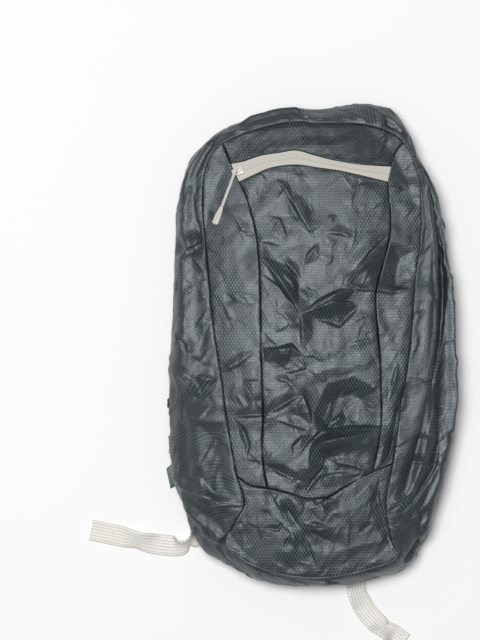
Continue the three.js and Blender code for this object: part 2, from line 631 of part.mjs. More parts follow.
// Webbing from its anchor end, under the buckle's lower bar, back over it and out as the tail
function makeWebbing(side) {
  const { buckle, run, anchor, tail } = webbingPlaces(side);
  const fromEnd = (distance, height) =>
    buckle.clone().addScaledVector(run, buckleLength / 2 + distance).setZ(height);
  const anchorRun = smoothCurve([
    anchor.clone().setZ(webbingMiddle), fromEnd(22, webbingMiddle), fromEnd(2, webbingMiddle),
  ]);
  const tailRun = smoothCurve([
    fromEnd(3, overBar), fromEnd(12, overBar * 0.7), tail[0].setZ(crossing),
    ...tail.slice(1).map((point) => point.setZ(webbingMiddle)),
  ]);
  const turnIn = 2.4;
  const points = [
    ...along(0, 1, 6).map((share) => anchorRun.getPointAt(share)),
    fromEnd(-buckleBar - 0.8, webbingMiddle),
    fromEnd(-buckleBar - turnIn, (webbingMiddle + overBar) / 2),
    fromEnd(-buckleBar - 0.8, overBar),
    ...along(0, 1, tail.length * 3).map((share) => tailRun.getPointAt(share)),
  ];
  points.forEach((point) => point.setZ(Math.max(point.z, webbingMiddle)));
  const turnAt = 8;
  const sideways = new THREE.Vector3(-run.y, run.x, 0);
  const across = levelAcross(points, turnAt).map((direction, i) =>
    (Math.abs(i - turnAt) <= 2 ? sideways.clone().negate() : direction));
  return ribbon(points, across, points.map(() => webbingWidth), webbingWall);
}

function makeTab(tab) {
  const root = along(tab.station0, tab.station1, 2)
    .map((station) => backEdge(station).setZ(backEdgeHeight - seamGap));
  const tip0 = atShares(tab.tip0).setZ(webbingWall + seamGap + tabWall);
  const tip1 = atShares(tab.tip1).setZ(webbingWall + seamGap + tabWall);
  const tips = along(0, 1, 2).map((share) => tip0.clone().lerp(tip1, share));
  const top = along(0, 1, 3).map((share) => root.map((point, i) => point.clone().lerp(tips[i], share)));
  const under = top.map((row) => row.map((point) => point.clone().setZ(point.z - tabWall)));
  return closedSheet(top, under);
}

// A flattened loop, its ends up against the back panel and its middle on the floor
function makeHaulLoop() {
  const [first, last] = loopEnds.map(atShares).map((point) => {
    const inner = backLower(point.x, point.y - loopWidth / 2);
    const outer = backLower(point.x, point.y + loopWidth / 2);
    return point.setZ(Math.min(inner, outer, backLower(point.x, point.y)) - seamGap * 2 - webbingMiddle);
  });
  const bow = [0.25, 0.5, 0.75].map((share) => {
    const point = first.clone().lerp(last, share).setZ(webbingMiddle);
    point.y += loopBow * Math.sin(Math.PI * share);
    return point;
  });
  const curve = smoothCurve([first, ...bow, last]);
  const points = along(0, 1, 10).map((share) => curve.getPointAt(share));
  points.forEach((point) => point.setZ(Math.max(point.z, webbingMiddle)));
  return ribbon(points, levelAcross(points), points.map(() => loopWidth), webbingWall);
}

// Set a flat piece, drawn on its own XY plane, on the front at a point, turned to a direction
function seatOnFront(mesh, x, y, direction, lift) {
  const step = 4;
  const slopeX = (frontHeight(x + step, y) - frontHeight(x - step, y)) / (2 * step);
  const slopeY = (frontHeight(x, y + step) - frontHeight(x, y - step)) / (2 * step);
  const up = new THREE.Vector3(-slopeX, -slopeY, 1).normalize();
  const ahead = direction.clone().addScaledVector(up, -direction.dot(up)).normalize();
  const side = ahead.clone().cross(up);
  mesh.quaternion.setFromRotationMatrix(new THREE.Matrix4().makeBasis(side, ahead, up));
  mesh.position.set(x, y, frontHeight(x, y)).addScaledVector(up, lift);
  return mesh;
}

const cordCurve = smoothCurve(cordRoute.map(([x, y, z]) => new THREE.Vector3(x, y, z)));
const cordSection = new THREE.Shape(along(0, cordSides - 1, cordSides - 1).map((i) => {
  const turn = (2 * Math.PI * i) / cordSides;
  return new THREE.Vector2(Math.cos(turn), Math.sin(turn)).multiplyScalar(cordDiameter / 2);
}));

function makeTip() {
  const neck = cordDiameter / 2 + 0.5;
  const end = tipWidth / 2;
  const outline = new THREE.Shape();
  outline.moveTo(-neck, 0);
  outline.lineTo(-end, tipLength * 0.55);
  outline.lineTo(-end, tipLength * 0.92);
  outline.quadraticCurveTo(0, tipLength * 1.04, end, tipLength * 0.92);
  outline.lineTo(end, tipLength * 0.55);
  outline.lineTo(neck, 0);
  return new THREE.ExtrudeGeometry(outline, { depth: cordDiameter + 0.6, bevelEnabled: false, curveSegments: 4 });
}

function makeSlider() {
  const outline = new THREE.Shape();
  outline.moveTo(-sliderWidth / 2, -sliderLength / 2);
  outline.lineTo(sliderWidth / 2, -sliderLength / 2);
  outline.quadraticCurveTo(sliderWidth * 0.55, 0, sliderWidth * 0.3, sliderLength / 2);
  outline.lineTo(-sliderWidth * 0.3, sliderLength / 2);
  outline.quadraticCurveTo(-sliderWidth * 0.55, 0, -sliderWidth / 2, -sliderLength / 2);
  return new THREE.ExtrudeGeometry(outline, { depth: sliderWall, bevelEnabled: false, curveSegments: 4 });
}

const backpack = new THREE.Group();

function addPiece(name, geometry, material, parent = backpack) {
  const mesh = new THREE.Mesh(geometry, material);
  mesh.name = name;
  parent.add(mesh);
  return mesh;
}

const front = new THREE.Group();
frontPieces.forEach((piece) => addPiece(piece.name, makeFrontPiece(piece), piece.material, front));

const gusset = new THREE.Group();
addPiece('gusset_front_band', gussetPiece(bandStations, bandWays), nylon, gusset);
addPiece('main_zip', gussetPiece(bandStations, [wayZip + waySeam, wayZipFar]), darkTape, gusset);
addPiece('gusset_back_band', gussetPiece(bandStations, [0, 0.09, 0.17, wayZip]), nylon, gusset);
addPiece('bottom_gusset', gussetPiece(bottomStations, bottomWays), nylonDark, gusset);
addPiece('back_panel', makeBackPanel(), nylon);

const harness = new THREE.Group();
[-1, 1].forEach((side) => {
  const hand = side < 0 ? 'left' : 'right';
  addPiece(`shoulder_strap_${hand}`, makeShoulderStrap(side), strapMesh, harness);
  const { buckle, run } = webbingPlaces(side);
  const lock = addPiece(`ladder_lock_${hand}`, makeBuckle(), plastic, harness);
  lock.position.copy(buckle).setZ(barUnder);
  lock.rotation.z = Math.atan2(run.x, -run.y);
  addPiece(`strap_webbing_${hand}`, makeWebbing(side), webbing, harness);
  addPiece(`anchor_tab_${hand}`, makeTab(side < 0 ? leftTab : rightTab), nylon, harness);
});
addPiece('haul_loop', makeHaulLoop(), webbing, harness);

const trim = new THREE.Group();
const sliderSeat = atShares(sliderPlace);
const cordEnd = cordCurve.getPointAt(1);
const pullRun = cordCurve.getTangentAt(1);
const zipRun = new THREE.Vector3(-1, -0.3, 0);
const slider = addPiece('pocket_zip_slider', makeSlider(), plastic, trim);
seatOnFront(slider, sliderSeat.x, sliderSeat.y, zipRun, seamGap);
addPiece('pocket_pull_cord', new THREE.ExtrudeGeometry(cordSection, {
  steps: cordSteps, extrudePath: cordCurve, bevelEnabled: false,
}), zipTape, trim);
const tip = addPiece('pocket_pull_tip', makeTip(), plastic, trim);
seatOnFront(tip, cordEnd.x + pullRun.x * seamGap, cordEnd.y + pullRun.y * seamGap, pullRun, seamGap);
const zipStation = zipStart + 0.6;
const zipMiddle = (wayZip + wayZipFar) / 2;
const zipOut = outwardNormal(plainGusset, zipStation, zipMiddle);
const zipAhead = plainGusset(zipStation - 0.1, zipMiddle).sub(plainGusset(zipStation, zipMiddle)).normalize();
const mainSlider = addPiece('main_zip_slider', makeSlider(), darkTape, trim);
const zipSide = zipAhead.clone().cross(zipOut);
mainSlider.quaternion.setFromRotationMatrix(new THREE.Matrix4().makeBasis(zipSide, zipAhead, zipOut));
mainSlider.position.copy(plainGusset(zipStation, zipMiddle)).addScaledVector(zipOut, seamGap);

backpack.add(front, gusset, harness, trim);
export default backpack;
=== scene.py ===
# Packable backpack of thin ripstop nylon, lying slack on its back, seen from straight above.
# Tables and shape functions work in millimetres; meshes are made in metres.
import math
import bpy
import numpy as np
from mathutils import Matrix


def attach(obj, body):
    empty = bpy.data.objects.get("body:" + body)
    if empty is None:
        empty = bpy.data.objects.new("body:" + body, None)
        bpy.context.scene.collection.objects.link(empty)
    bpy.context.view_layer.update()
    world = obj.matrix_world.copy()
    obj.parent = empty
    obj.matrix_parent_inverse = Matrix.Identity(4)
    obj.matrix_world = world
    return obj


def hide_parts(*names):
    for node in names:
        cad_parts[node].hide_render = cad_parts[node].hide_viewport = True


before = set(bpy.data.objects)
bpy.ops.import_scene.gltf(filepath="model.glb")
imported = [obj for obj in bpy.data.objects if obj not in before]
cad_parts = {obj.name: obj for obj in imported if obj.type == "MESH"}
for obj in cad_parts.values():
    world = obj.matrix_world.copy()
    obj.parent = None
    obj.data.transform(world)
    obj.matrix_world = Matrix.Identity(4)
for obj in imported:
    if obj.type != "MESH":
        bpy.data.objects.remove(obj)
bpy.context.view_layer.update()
metre = 0.001

# Sizes in mm, the same as the solids' own
halfWidth = 136.5
halfHeight = 225.0
lyingDepth = 84.0
seamHeight = 66.0
rimHeight = 30.0
backEdgeHeight = 3.6
backEdgeInset = 15.0
seamGap = 0.3
webbingWidth = 20.0
webbingWall = 1.5
strapWall = 5.0
strapWidth = 52.0
strapNarrowShare = 0.6
strapLiftMargin = 15.0
strapLiftFall = 24.0
buckleLength = 34.0
buckleWidth = 27.0
buckleWall = 3.0
buckleBar = 4.0
loopWidth = 16.0
loopBow = 11.0
# The seen cloth is thinner than its solid, and no gusset point lies lower than this
clothThickness = 0.55
lowestCloth = 0.8

# Camera: straight above, its height and its place over the bag in metres, lens and sensor in mm
cameraHeight = 2.4
cameraPlace = (-0.0678, 0.0235)
cameraLens = 140.4
cameraSensor = 36.0

# The pull cord's route, the same as its solid's, in metres
cordRoute = [
    (-0.0710, 0.1653, 0.0700), (-0.0720, 0.1628, 0.0702), (-0.0729, 0.1602, 0.0704),
    (-0.0739, 0.1577, 0.0702), (-0.0749, 0.1551, 0.0694), (-0.0759, 0.1526, 0.0685),
    (-0.0768, 0.1500, 0.0679), (-0.0778, 0.1475, 0.0677), (-0.0788, 0.1450, 0.0677),
    (-0.0797, 0.1424, 0.0678), (-0.0807, 0.1399, 0.0679), (-0.0817, 0.1373, 0.0679),
    (-0.0827, 0.1348, 0.0679), (-0.0836, 0.1322, 0.0680), (-0.0846, 0.1297, 0.0680),
]
cordDiameter = 0.0028


def placeCamera():
    data = bpy.data.cameras.new("main_camera")
    data.lens = cameraLens
    data.sensor_width = cameraSensor
    camera = bpy.data.objects.new("main_camera", data)
    camera.location = (*cameraPlace, cameraHeight)
    camera.rotation_euler = (0.0, 0.0, 0.0)
    bpy.context.scene.collection.objects.link(camera)
    bpy.context.scene.camera = camera


placeCamera()


# Round the bag, clockwise from the front's top left corner: the widest line of the gusset and
# the seam between gusset and front, as shares of half the width and half the height.
stationRows = [
    (-0.60, 0.906, -0.62, 0.842), (-0.18, 0.995, -0.175, 0.929), (0.03, 0.991, 0.03, 0.925),
    (0.34, 1.012, 0.31, 0.921), (0.55, 0.991, 0.515, 0.892), (0.665, 0.906, 0.624, 0.847),
    (0.75, 0.78, 0.706, 0.76), (0.846, 0.653, 0.74, 0.635), (0.93, 0.463, 0.747, 0.469),
    (0.97, 0.231, 0.696, 0.233), (1.0, 0.0, 0.665, 0.0), (1.01, -0.233, 0.61, -0.227),
    (0.985, -0.38, 0.575, -0.36), (0.944, -0.51, 0.545, -0.49), (0.868, -0.675, 0.5, -0.658),
    (0.777, -0.828, 0.528, -0.788), (0.658, -0.929, 0.576, -0.873), (0.373, -0.993, 0.323, -0.936),
    (-0.01, -1.014, -0.032, -0.965), (-0.344, -0.993, -0.333, -0.927), (-0.60, -0.917, -0.592, -0.828),
    (-0.747, -0.862, -0.544, -0.741), (-0.9, -0.676, -0.469, -0.654), (-0.963, -0.549, -0.517, -0.542),
    (-0.983, -0.36, -0.572, -0.36), (-0.983, -0.17, -0.62, -0.165), (-0.963, 0.105, -0.684, 0.105),
    (-0.956, 0.316, -0.715, 0.304), (-0.935, 0.548, -0.749, 0.536), (-0.886, 0.716, -0.749, 0.693),
    (-0.775, 0.822, -0.708, 0.784),
]
stationCount = len(stationRows)
# Stations where seams meet, where the main zip starts and ends, and the zip's way up the gusset
topRight, arcRight, bottomRight, bottomLeft, arcLeft = 5, 13, 16, 20, 23
zipStart = 24.0
zipEnd = stationCount + 12 + 2 / 3
zipMiddle = 0.2919
leftSeam = [
    (-0.62, 0.842), (-0.558, 0.754), (-0.503, 0.68), (-0.462, 0.626), (-0.422, 0.551),
    (-0.387, 0.456), (-0.367, 0.336), (-0.36, 0.229), (-0.353, -0.044), (-0.34, -0.288),
    (-0.347, -0.44), (-0.312, -0.591),
]
rightSeam = [
    (0.624, 0.847), (0.574, 0.804), (0.54, 0.742), (0.516, 0.68), (0.52, 0.622), (0.533, 0.547),
    (0.526, 0.452), (0.479, 0.336), (0.431, 0.229), (0.431, 0.134), (0.458, -0.057),
    (0.465, -0.309), (0.451, -0.392), (0.404, -0.524),
]
zipTopEdge = [
    (-0.558, 0.754), (-0.476, 0.763), (-0.353, 0.787), (-0.231, 0.798), (-0.115, 0.808),
    (0.015, 0.787), (0.145, 0.767), (0.322, 0.75), (0.54, 0.742),
]
zipBottomEdge = [
    (-0.503, 0.68), (-0.415, 0.705), (-0.285, 0.738), (-0.115, 0.75), (0.035, 0.738),
    (0.185, 0.725), (0.308, 0.709), (0.516, 0.68),
]
arcSeam = [
    (-0.517, -0.542), (-0.435, -0.578), (-0.312, -0.591), (-0.162, -0.611), (-0.033, -0.632),
    (0.097, -0.628), (0.199, -0.591), (0.308, -0.555), (0.404, -0.524), (0.545, -0.49),
]


def shares(rows):
    return np.array(rows, float) * (halfWidth, halfHeight)


def unit(vectors):
    # Vectors of length 1, along the last axis
    vectors = np.asarray(vectors, float)
    return vectors / np.maximum(np.linalg.norm(vectors, axis=-1, keepdims=True), 1e-9)


def runLengths(points):
    # Distance along a line of points, from the first to each
    return np.concatenate([[0], np.cumsum(np.linalg.norm(np.diff(points, axis=0), axis=1))])


def splinePoints(points, places, closed=False):
    # Centripetal Catmull-Rom: cubic pieces whose tangents weigh each run by the root of its length
    points = np.asarray(points, float)
    count = len(points)
    if closed:
        padded = np.vstack([points[-1:], points, points[:2]])
        places = np.mod(places, count)
        last = count
    else:
        padded = np.vstack([2 * points[0] - points[1], points, 2 * points[-1] - points[-2]])
        places = np.asarray(places, float)
        last = count - 1
    index = np.clip(np.floor(places).astype(int), 0, last - 1)
    part = (places - index)[..., None]
    p0, p1, p2, p3 = (padded[index + k] for k in range(4))
    root = lambda a, b: np.sqrt(np.maximum(np.linalg.norm(b - a, axis=-1), 1e-8))[..., None]
    d0, d1, d2 = root(p0, p1), root(p1, p2), root(p2, p3)
    t1 = ((p1 - p0) / d0 - (p2 - p0) / (d0 + d1) + (p2 - p1) / d1) * d1
    t2 = ((p2 - p1) / d1 - (p3 - p1) / (d1 + d2) + (p3 - p2) / d2) * d1
    return (p1 + t1 * part + (-3 * p1 + 3 * p2 - 2 * t1 - t2) * part ** 2
            + (2 * p1 - 2 * p2 + t1 + t2) * part ** 3)


def evenPoints(points, parts):
    # Points of an open curve at shares of its length
    places = np.linspace(0, len(points) - 1, 1200)
    lengths = runLengths(splinePoints(points, places))
    return splinePoints(points, np.interp(np.asarray(parts) * lengths[-1], lengths, places))


rimPoints = shares([row[:2] for row in stationRows])
seamPoints = shares([row[2:] for row in stationRows])


def rimAt(station):
    return splinePoints(rimPoints, station, True)


def seamAt(station):
    return splinePoints(seamPoints, station, True)


def backEdgePlan(stations):
    # The seam round the back, inside the widest line
    run = unit(rimAt(stations + 0.05) - rimAt(stations - 0.05))
    return rimAt(stations) + np.stack([run[..., 1], -run[..., 0]], axis=-1) * backEdgeInset


# Broad folds of the front: ends as shares of half the width and height, width and rise in mm
broadFolds = [
    (-0.36, 0.34, -0.09, 0.13, 16.4, 3.8), (-0.30, 0.39, -0.06, 0.22, 13.7, -2.9),
    (0.54, 0.45, 0.24, 0.28, 15.0, 3.4), (0.44, 0.33, 0.32, 0.27, 19.1, -4.2),
    (0.22, 0.255, -0.08, 0.125, 16.4, 3.8), (0.02, 0.13, 0.26, 0.15, 16.4, -4.2),
    (-0.07, 0.12, -0.07, -0.05, 13.7, 2.9), (-0.30, -0.03, -0.10, -0.09, 19.1, -4.2),
    (-0.27, -0.28, -0.10, -0.21, 13.7, 4.2), (-0.10, -0.21, -0.01, -0.35, 13.7, 4.2),
    (0.13, -0.22, 0.34, -0.29, 33.0, -7.0), (-0.03, -0.50, 0.10, -0.40, 13.7, 4.2),
    (0.10, -0.40, 0.42, -0.36, 13.7, 5.0), (0.12, -0.46, 0.38, -0.44, 16.4, -5.0),
    (0.08, -0.48, -0.05, -0.61, 13.7, -5.0), (-0.28, -0.52, -0.08, -0.60, 13.7, -4.2),
    (-0.27, -0.63, -0.06, -0.77, 12.3, -3.8), (-0.05, -0.65, -0.18, -0.85, 13.7, 3.8),
    (-0.05, -0.74, 0.14, -0.76, 13.7, 3.4), (0.02, -0.80, 0.14, -0.82, 16.4, -4.2),
    (-0.56, -0.23, -0.36, -0.24, 16.4, -4.2), (-0.58, -0.30, -0.34, -0.31, 13.7, 2.9),
    (0.26, 0.25, 0.66, 0.21, 13.7, 2.9), (0.56, 0.31, 0.66, 0.30, 16.4, -3.4),
    (0.76, 0.60, 0.65, -0.10, 30.0, 8.0),
]
# Broad folds of the gusset: station and share of the way up from the back edge, width, rise in mm
gussetFolds = [
    (12.2, 0.82, 13.7, 0.88, 10.1, -4.0),
    (8.8, 0.60, 11.8, 0.58, 10.1, 4.2), (15.1, 0.60, 15.8, 0.70, 10.1, -7.6),
    (21.9, 0.60, 20.8, 0.84, 9.2, 4.2), (22.9, 0.52, 22.1, 0.88, 9.2, 3.0),
    (24.1, 0.68, 22.8, 0.66, 9.2, -2.0), (24.9, 0.56, 24.8, 0.80, 10.1, -3.0),
    (25.3, 0.46, 25.2, 0.92, 10.1, 2.6),
    (27.4, 0.52, 27.5, 0.92, 10.1, -5.9), (0.5, 0.72, 1.3, 0.72, 11.8, 4.2),
    (4.0, 0.86, 4.7, 0.86, 8.4, -3.4),
]
# Where the gusset bulges to a level shelf: station and way of its ends, width and lift in mm
gussetShelves = [
    (6.5, 0.54, 12.8, 0.54, 23.0, 12.0), (6.5, 0.84, 12.6, 0.84, 13.0, 4.0),
    (12.8, 0.54, 14.6, 0.54, 22.0, 10.0), (25.3, 0.62, 30.2, 0.62, 32.0, 11.0),
]
# Steps and crests of the gusset that rise or drop straight up or down, as the front's creases do
gussetSteps = [
    (-8.0, 2.5, 6, [(112, 129), (118, 108), (122, 86), (122, 64), (122, 43), (121, 20), (120, 7),
                    (117, -12), (113, -28), (110, -55)]),
    (4.5, 9, 5, [(114, -45), (113, -64), (109, -83), (104, -108), (96, -130), (91, -139), (78, -145),
                 (70, -149)]),
    (-4.0, 1.4, 9, [(119, -78), (118, -95), (116, -111), (108, -126), (95, -146), (84, -156), (72, -158)]),
]
# The gusset's way up from the back edge: 0 there, rimWay at the widest line, 1 at the front's seam
rimWay = 0.4
gussetTurn = math.radians(75)
gussetGirth = backEdgeInset + rimHeight + seamHeight
stationLength = (2 * halfHeight + 2 * halfWidth) * 1.6 / stationCount


def cosineFold(x, y, x0, y0, x1, y1, width):
    runX, runY = x1 - x0, y1 - y0
    part = np.clip(((x - x0) * runX + (y - y0) * runY) / (runX ** 2 + runY ** 2), 0, 1)
    distance = np.hypot(x - x0 - runX * part, y - y0 - runY * part) / width
    return np.where(distance < 1, 0.5 + 0.5 * np.cos(np.pi * np.minimum(distance, 1)), 0)


def frontBase(x, y):
    # Height of the front without creases: a crown that falls off to the seams, and broad folds
    across, up = x / halfWidth, y / halfHeight
    fall = np.minimum(1, np.abs(across / 0.78) ** 2.4 + np.abs(up / 0.96) ** 3)
    height = seamHeight + (lyingDepth - seamHeight) * (1 - fall) - 0.07 * up * lyingDepth
    for x0, y0, x1, y1, width, rise in broadFolds:
        height = height + broadShare * rise * cosineFold(
            x, y, x0 * halfWidth, y0 * halfHeight, x1 * halfWidth, y1 * halfHeight, width)
    return height


def creaseHeight(x, y, rise, left, right, points, ends=0.08):
    # A sharp crest along a line: flat flanks of two widths, left and right of its direction.
    # Rise and widths shrink together towards both ends, so that each flank is a pointed facet.
    points = np.asarray(points, float)
    reach = max(left, right)
    inside = ((x > points[:, 0].min() - reach) & (x < points[:, 0].max() + reach)
              & (y > points[:, 1].min() - reach) & (y < points[:, 1].max() + reach))
    height = np.zeros_like(x)
    px, py = x[inside], y[inside]
    if px.size == 0:
        return height
    best = np.full(px.shape, 1e9)
    side = np.zeros(px.shape)
    place = np.zeros(px.shape)
    start = 0.0
    for (x0, y0), (x1, y1) in zip(points[:-1], points[1:]):
        runX, runY = x1 - x0, y1 - y0
        length = math.hypot(runX, runY)
        part = np.clip(((px - x0) * runX + (py - y0) * runY) / length ** 2, 0, 1)
        awayX, awayY = px - x0 - runX * part, py - y0 - runY * part
        distance = np.hypot(awayX, awayY)
        near = distance < best
        best = np.where(near, distance, best)
        side = np.where(near, runX * awayY - runY * awayX, side)
        place = np.where(near, start + part * length, place)
        start += length
    share = np.clip(place / start, 0, 1)
    swell = ends + (1 - ends) * np.minimum(1, 1.35 * (1 - np.abs(2 * share - 1)))
    width = np.where(side > 0, left, right) * swell
    soft = np.sqrt(best ** 2 + 0.25 ** 2) - 0.25
    height[inside] = rise * swell * np.clip(1 - soft / width, 0, 1) ** 1.06
    return height


# Creases of the front, seen from above, in mm: rise, width of the left flank and of the right
# flank as one goes along the points, and the points.
frontCreases = [
    (-4.0, 0.8, 6, [(89, -31), (85, -46), (81, -62), (78, -79)]),
    (1.8, 10, 2.4, [(-31, 153), (-22, 138), (-15, 127), (-4, 108), (1, 99)]),
    (-1.2, 1.4, 6, [(-22, 136), (-10, 113)]),
    (1.6, 1.4, 10, [(-42, 120), (-31, 117), (-23, 96)]),
    (-1.6, 7, 1.8, [(-27, 79), (-15, 66), (-12, 62)]),
    (1.2, 6, 2.1, [(-30, 69), (-14, 53)]),
    (1.8, 9, 2.1, [(5, 95), (-4, 84), (-9, 75)]),
    (1.6, 8, 1.8, [(12, 105), (25, 104), (37, 100)]),
    (1.0, 6, 2.1, [(14, 121), (19, 114)]),
    (1.6, 10, 2.1, [(29, 57), (40, 72), (52, 88), (72, 106)]),
    (4.6, 3.5, 15, [(-15, 34), (-20, 43), (-27, 55), (-33, 64), (-47, 81)]),
    (-2.4, 12, 2.1, [(-13, 29), (-18, 38), (-25, 44), (-31, 53), (-47, 65)]),
    (0.9, 5, 1.4, [(-21, 58), (-15, 50)]),
    (0.9, 5, 1.8, [(-13, 52), (-5, 42)]),
    (2.4, 8, 2.1, [(31, 57), (44, 52), (59, 52), (73, 49), (85, 50)]),
    (4.6, 3.1, 18, [(-8, 31), (4, 39), (16, 45), (26, 50), (39, 52)]),
    (-2.2, 14, 3.1, [(1, 25), (17, 22), (24, 19), (42, 36)]),
    (2.0, 10, 1.8, [(-11, 29), (-10, 11), (-10, -4)]),
    (0.9, 7, 2.4, [(-36, 12), (-21, 21)]),
    (3.2, 2.1, 17, [(-46, -1), (-39, -6), (-30, -3), (-20, 0), (-10, -9)]),
    (1.4, 8, 2.1, [(-36, -26), (-20, -24), (-8, -21), (-10, -10)]),
    (1.0, 5, 1.8, [(-9, -10), (1, -9), (11, -16)]),
    (1.0, 6, 1.8, [(-36, -30), (-22, -34)]),
    (1.1, 6, 1.8, [(-25, -32), (-15, -43)]),
    (2.2, 9, 3.1, [(-44, -65), (-30, -56), (-13, -46)]),
    (3.4, 1.8, 11, [(-13, -46), (-9, -47), (-4, -61), (-2, -73)]),
    (2.6, 7, 2.4, [(27, -60), (24, -68), (14, -76)]),
    (1.4, 8, 2.1, [(-35, -69), (-20, -73), (-4, -79)]),
    (-1.6, 7, 2.4, [(-2, -83), (-10, -86), (-18, -94), (-18, -103)]),
    (1.8, 2.1, 8, [(26, -66), (6, -78), (-4, -88), (-13, -101)]),
    (3.6, 12, 4.2, [(60, -79), (38, -82), (18, -84), (4, -89), (-1, -97), (-4, -112)]),
    (-2.0, 7, 2.4, [(12, -102), (9, -115), (-1, -127), (-8, -138)]),
    (1.6, 7, 1.8, [(13, -104), (24, -109), (38, -112), (52, -117)]),
    (1.6, 2.8, 10, [(-5, -138), (6, -124), (21, -120), (48, -119)]),
    (-2.0, 8, 2.1, [(-46, -111), (-33, -117), (-15, -127), (-7, -134)]),
    (1.8, 8, 2.1, [(-86, -26), (-70, -17), (-52, -4)]),
    (1.2, 5, 1.4, [(-71, -46), (-61, -63)]),
    (2.0, 9, 1.8, [(-74, -66), (-57, -65), (-38, -64)]),
    (-2.6, 2, 5, [(-74, -68), (-65, -78), (-60, -93), (-62, -106)]),
    (-1.4, 1.8, 7, [(-81, 48), (-71, 39)]),
    (0.9, 5, 1.8, [(-84, 42), (-74, 17)]),
    (1.6, 6, 1.8, [(70, 146), (86, 145)]),
    (-1.8, 1.8, 9, [(80, -5), (73, -32), (68, -57)]),
    (1.5, 7, 1.8, [(-39, -136), (-33, -146), (-26, -158)]),
    (-2.0, 2.1, 8, [(-30, -142), (-23, -154), (-10, -172)]),
    (1.6, 2.1, 7, [(-8, -144), (-15, -162)]),
    (-1.6, 6, 2.1, [(-22, -177), (-27, -190)]),
    (1.4, 5, 1.8, [(-21, -172), (-16, -190)]),
    (-1.8, 1.8, 7, [(-9, -175), (-3, -190), (3, -208)]),
    (1.8, 2.1, 9, [(-9, -165), (18, -169)]),
    (-1.4, 9, 2.4, [(-4, -172), (21, -186)]),
    (-1.4, 10, 3.1, [(-5, -137), (25, -165)]),
    (0.9, 4, 1.4, [(12, -145), (9, -154)]),
    (1.2, 6, 2.1, [(-63, -149), (-74, -165), (-79, -177)]),
    (-1.1, 5, 1.8, [(-47, -154), (-39, -160)]),
    (-1.3, 5, 1.8, [(-46, -170), (-33, -172), (-27, -165)]),
    (0.9, 6, 2.1, [(-51, -155), (-48, -182)]),
    (-2.0, 2.8, 9, [(62, -123), (61, -146), (68, -171), (73, -190)]),
    (-1.2, 6, 2.1, [(42, -176), (49, -171), (56, -165)]),
    (-1.6, 1.8, 6, [(75, -108), (75, -128), (68, -147)]),
    (1.4, 6, 1.8, [(70, -150), (81, -157), (89, -163)]),
]


# Creases of the gusset, by their place seen from above; the rise is square to the cloth
gussetCreases = [
    (-3.0, 1.4, 14, [(108, -48), (104, -79), (98, -108), (94, -120), (88, -130)]),
    (2.8, 6, 1.4, [(110, 122), (113, 94), (115, 52), (114, 14), (111, -12), (106, -33)]),
    (2.2, 9, 1.8, [(121, -101), (118, -125), (107, -148), (92, -165)]),
    (1.6, 6, 2.1, [(110, -160), (101, -172)]),
    (-6.5, 6, 1.8, [(103, -180), (96, -192), (86, -201)]),
    (1.4, 5, 1.8, [(120, 0), (134, 8)]),
    (-1.3, 5, 1.8, [(113, -58), (124, -58)]),
    (1.2, 5, 1.8, [(111, 130), (116, 119), (121, 116)]),
    (-2.0, 6, 2.1, [(61, 206), (75, 204), (84, 206)]),
    (1.6, 6, 2.1, [(84, 202), (95, 191)]),
    (2.2, 10, 2.1, [(-129, 84), (-113, 92), (-102, 96)]),
    (-1.8, 9, 3.1, [(-124, 90), (-108, 98)]),
    (1.2, 5, 1.8, [(-113, 126), (-122, 113)]),
    (1.1, 5, 1.8, [(-114, 150), (-116, 141)]),
    (-1.1, 4, 1.4, [(-107, 62), (-99, 62)]),
    (1.2, 1.8, 6, [(-109, 55), (-122, 45)]),
    (1.3, 6, 1.8, [(-122, 7), (-110, -11)]),
    (1.2, 5, 1.8, [(-95, -1), (-106, -17)]),
    (-1.6, 1.4, 6, [(-13, 222), (-13, 211)]),
    (1.4, 5, 1.8, [(-42, 205), (-32, 207)]),
    (1.2, 4, 1.4, [(-7, 211), (-1, 206)]),
    (2.6, 2.5, 7, [(-126, -25), (-115, -33), (-108, -40), (-103, -50)]),
    (2.6, 1.5, 7, [(-109, -29), (-99, -29), (-89, -32)]),
    (1.2, 14, 5, [(-134, -66), (-124, -72), (-112, -69), (-100, -71), (-82, -71)]),
    (2.6, 3, 8, [(-120, -123), (-105, -126), (-97, -140), (-86, -148), (-63, -149)]),
    (2.6, 8, 12, [(-119, -129), (-106, -131), (-99, -145), (-87, -153), (-65, -154)]),
    (3.0, 9, 4, [(-121, -149), (-115, -154), (-96, -170), (-81, -182)]),
    (-1.8, 5, 4, [(-133, -25), (-124, -23), (-113, -25)]),
]
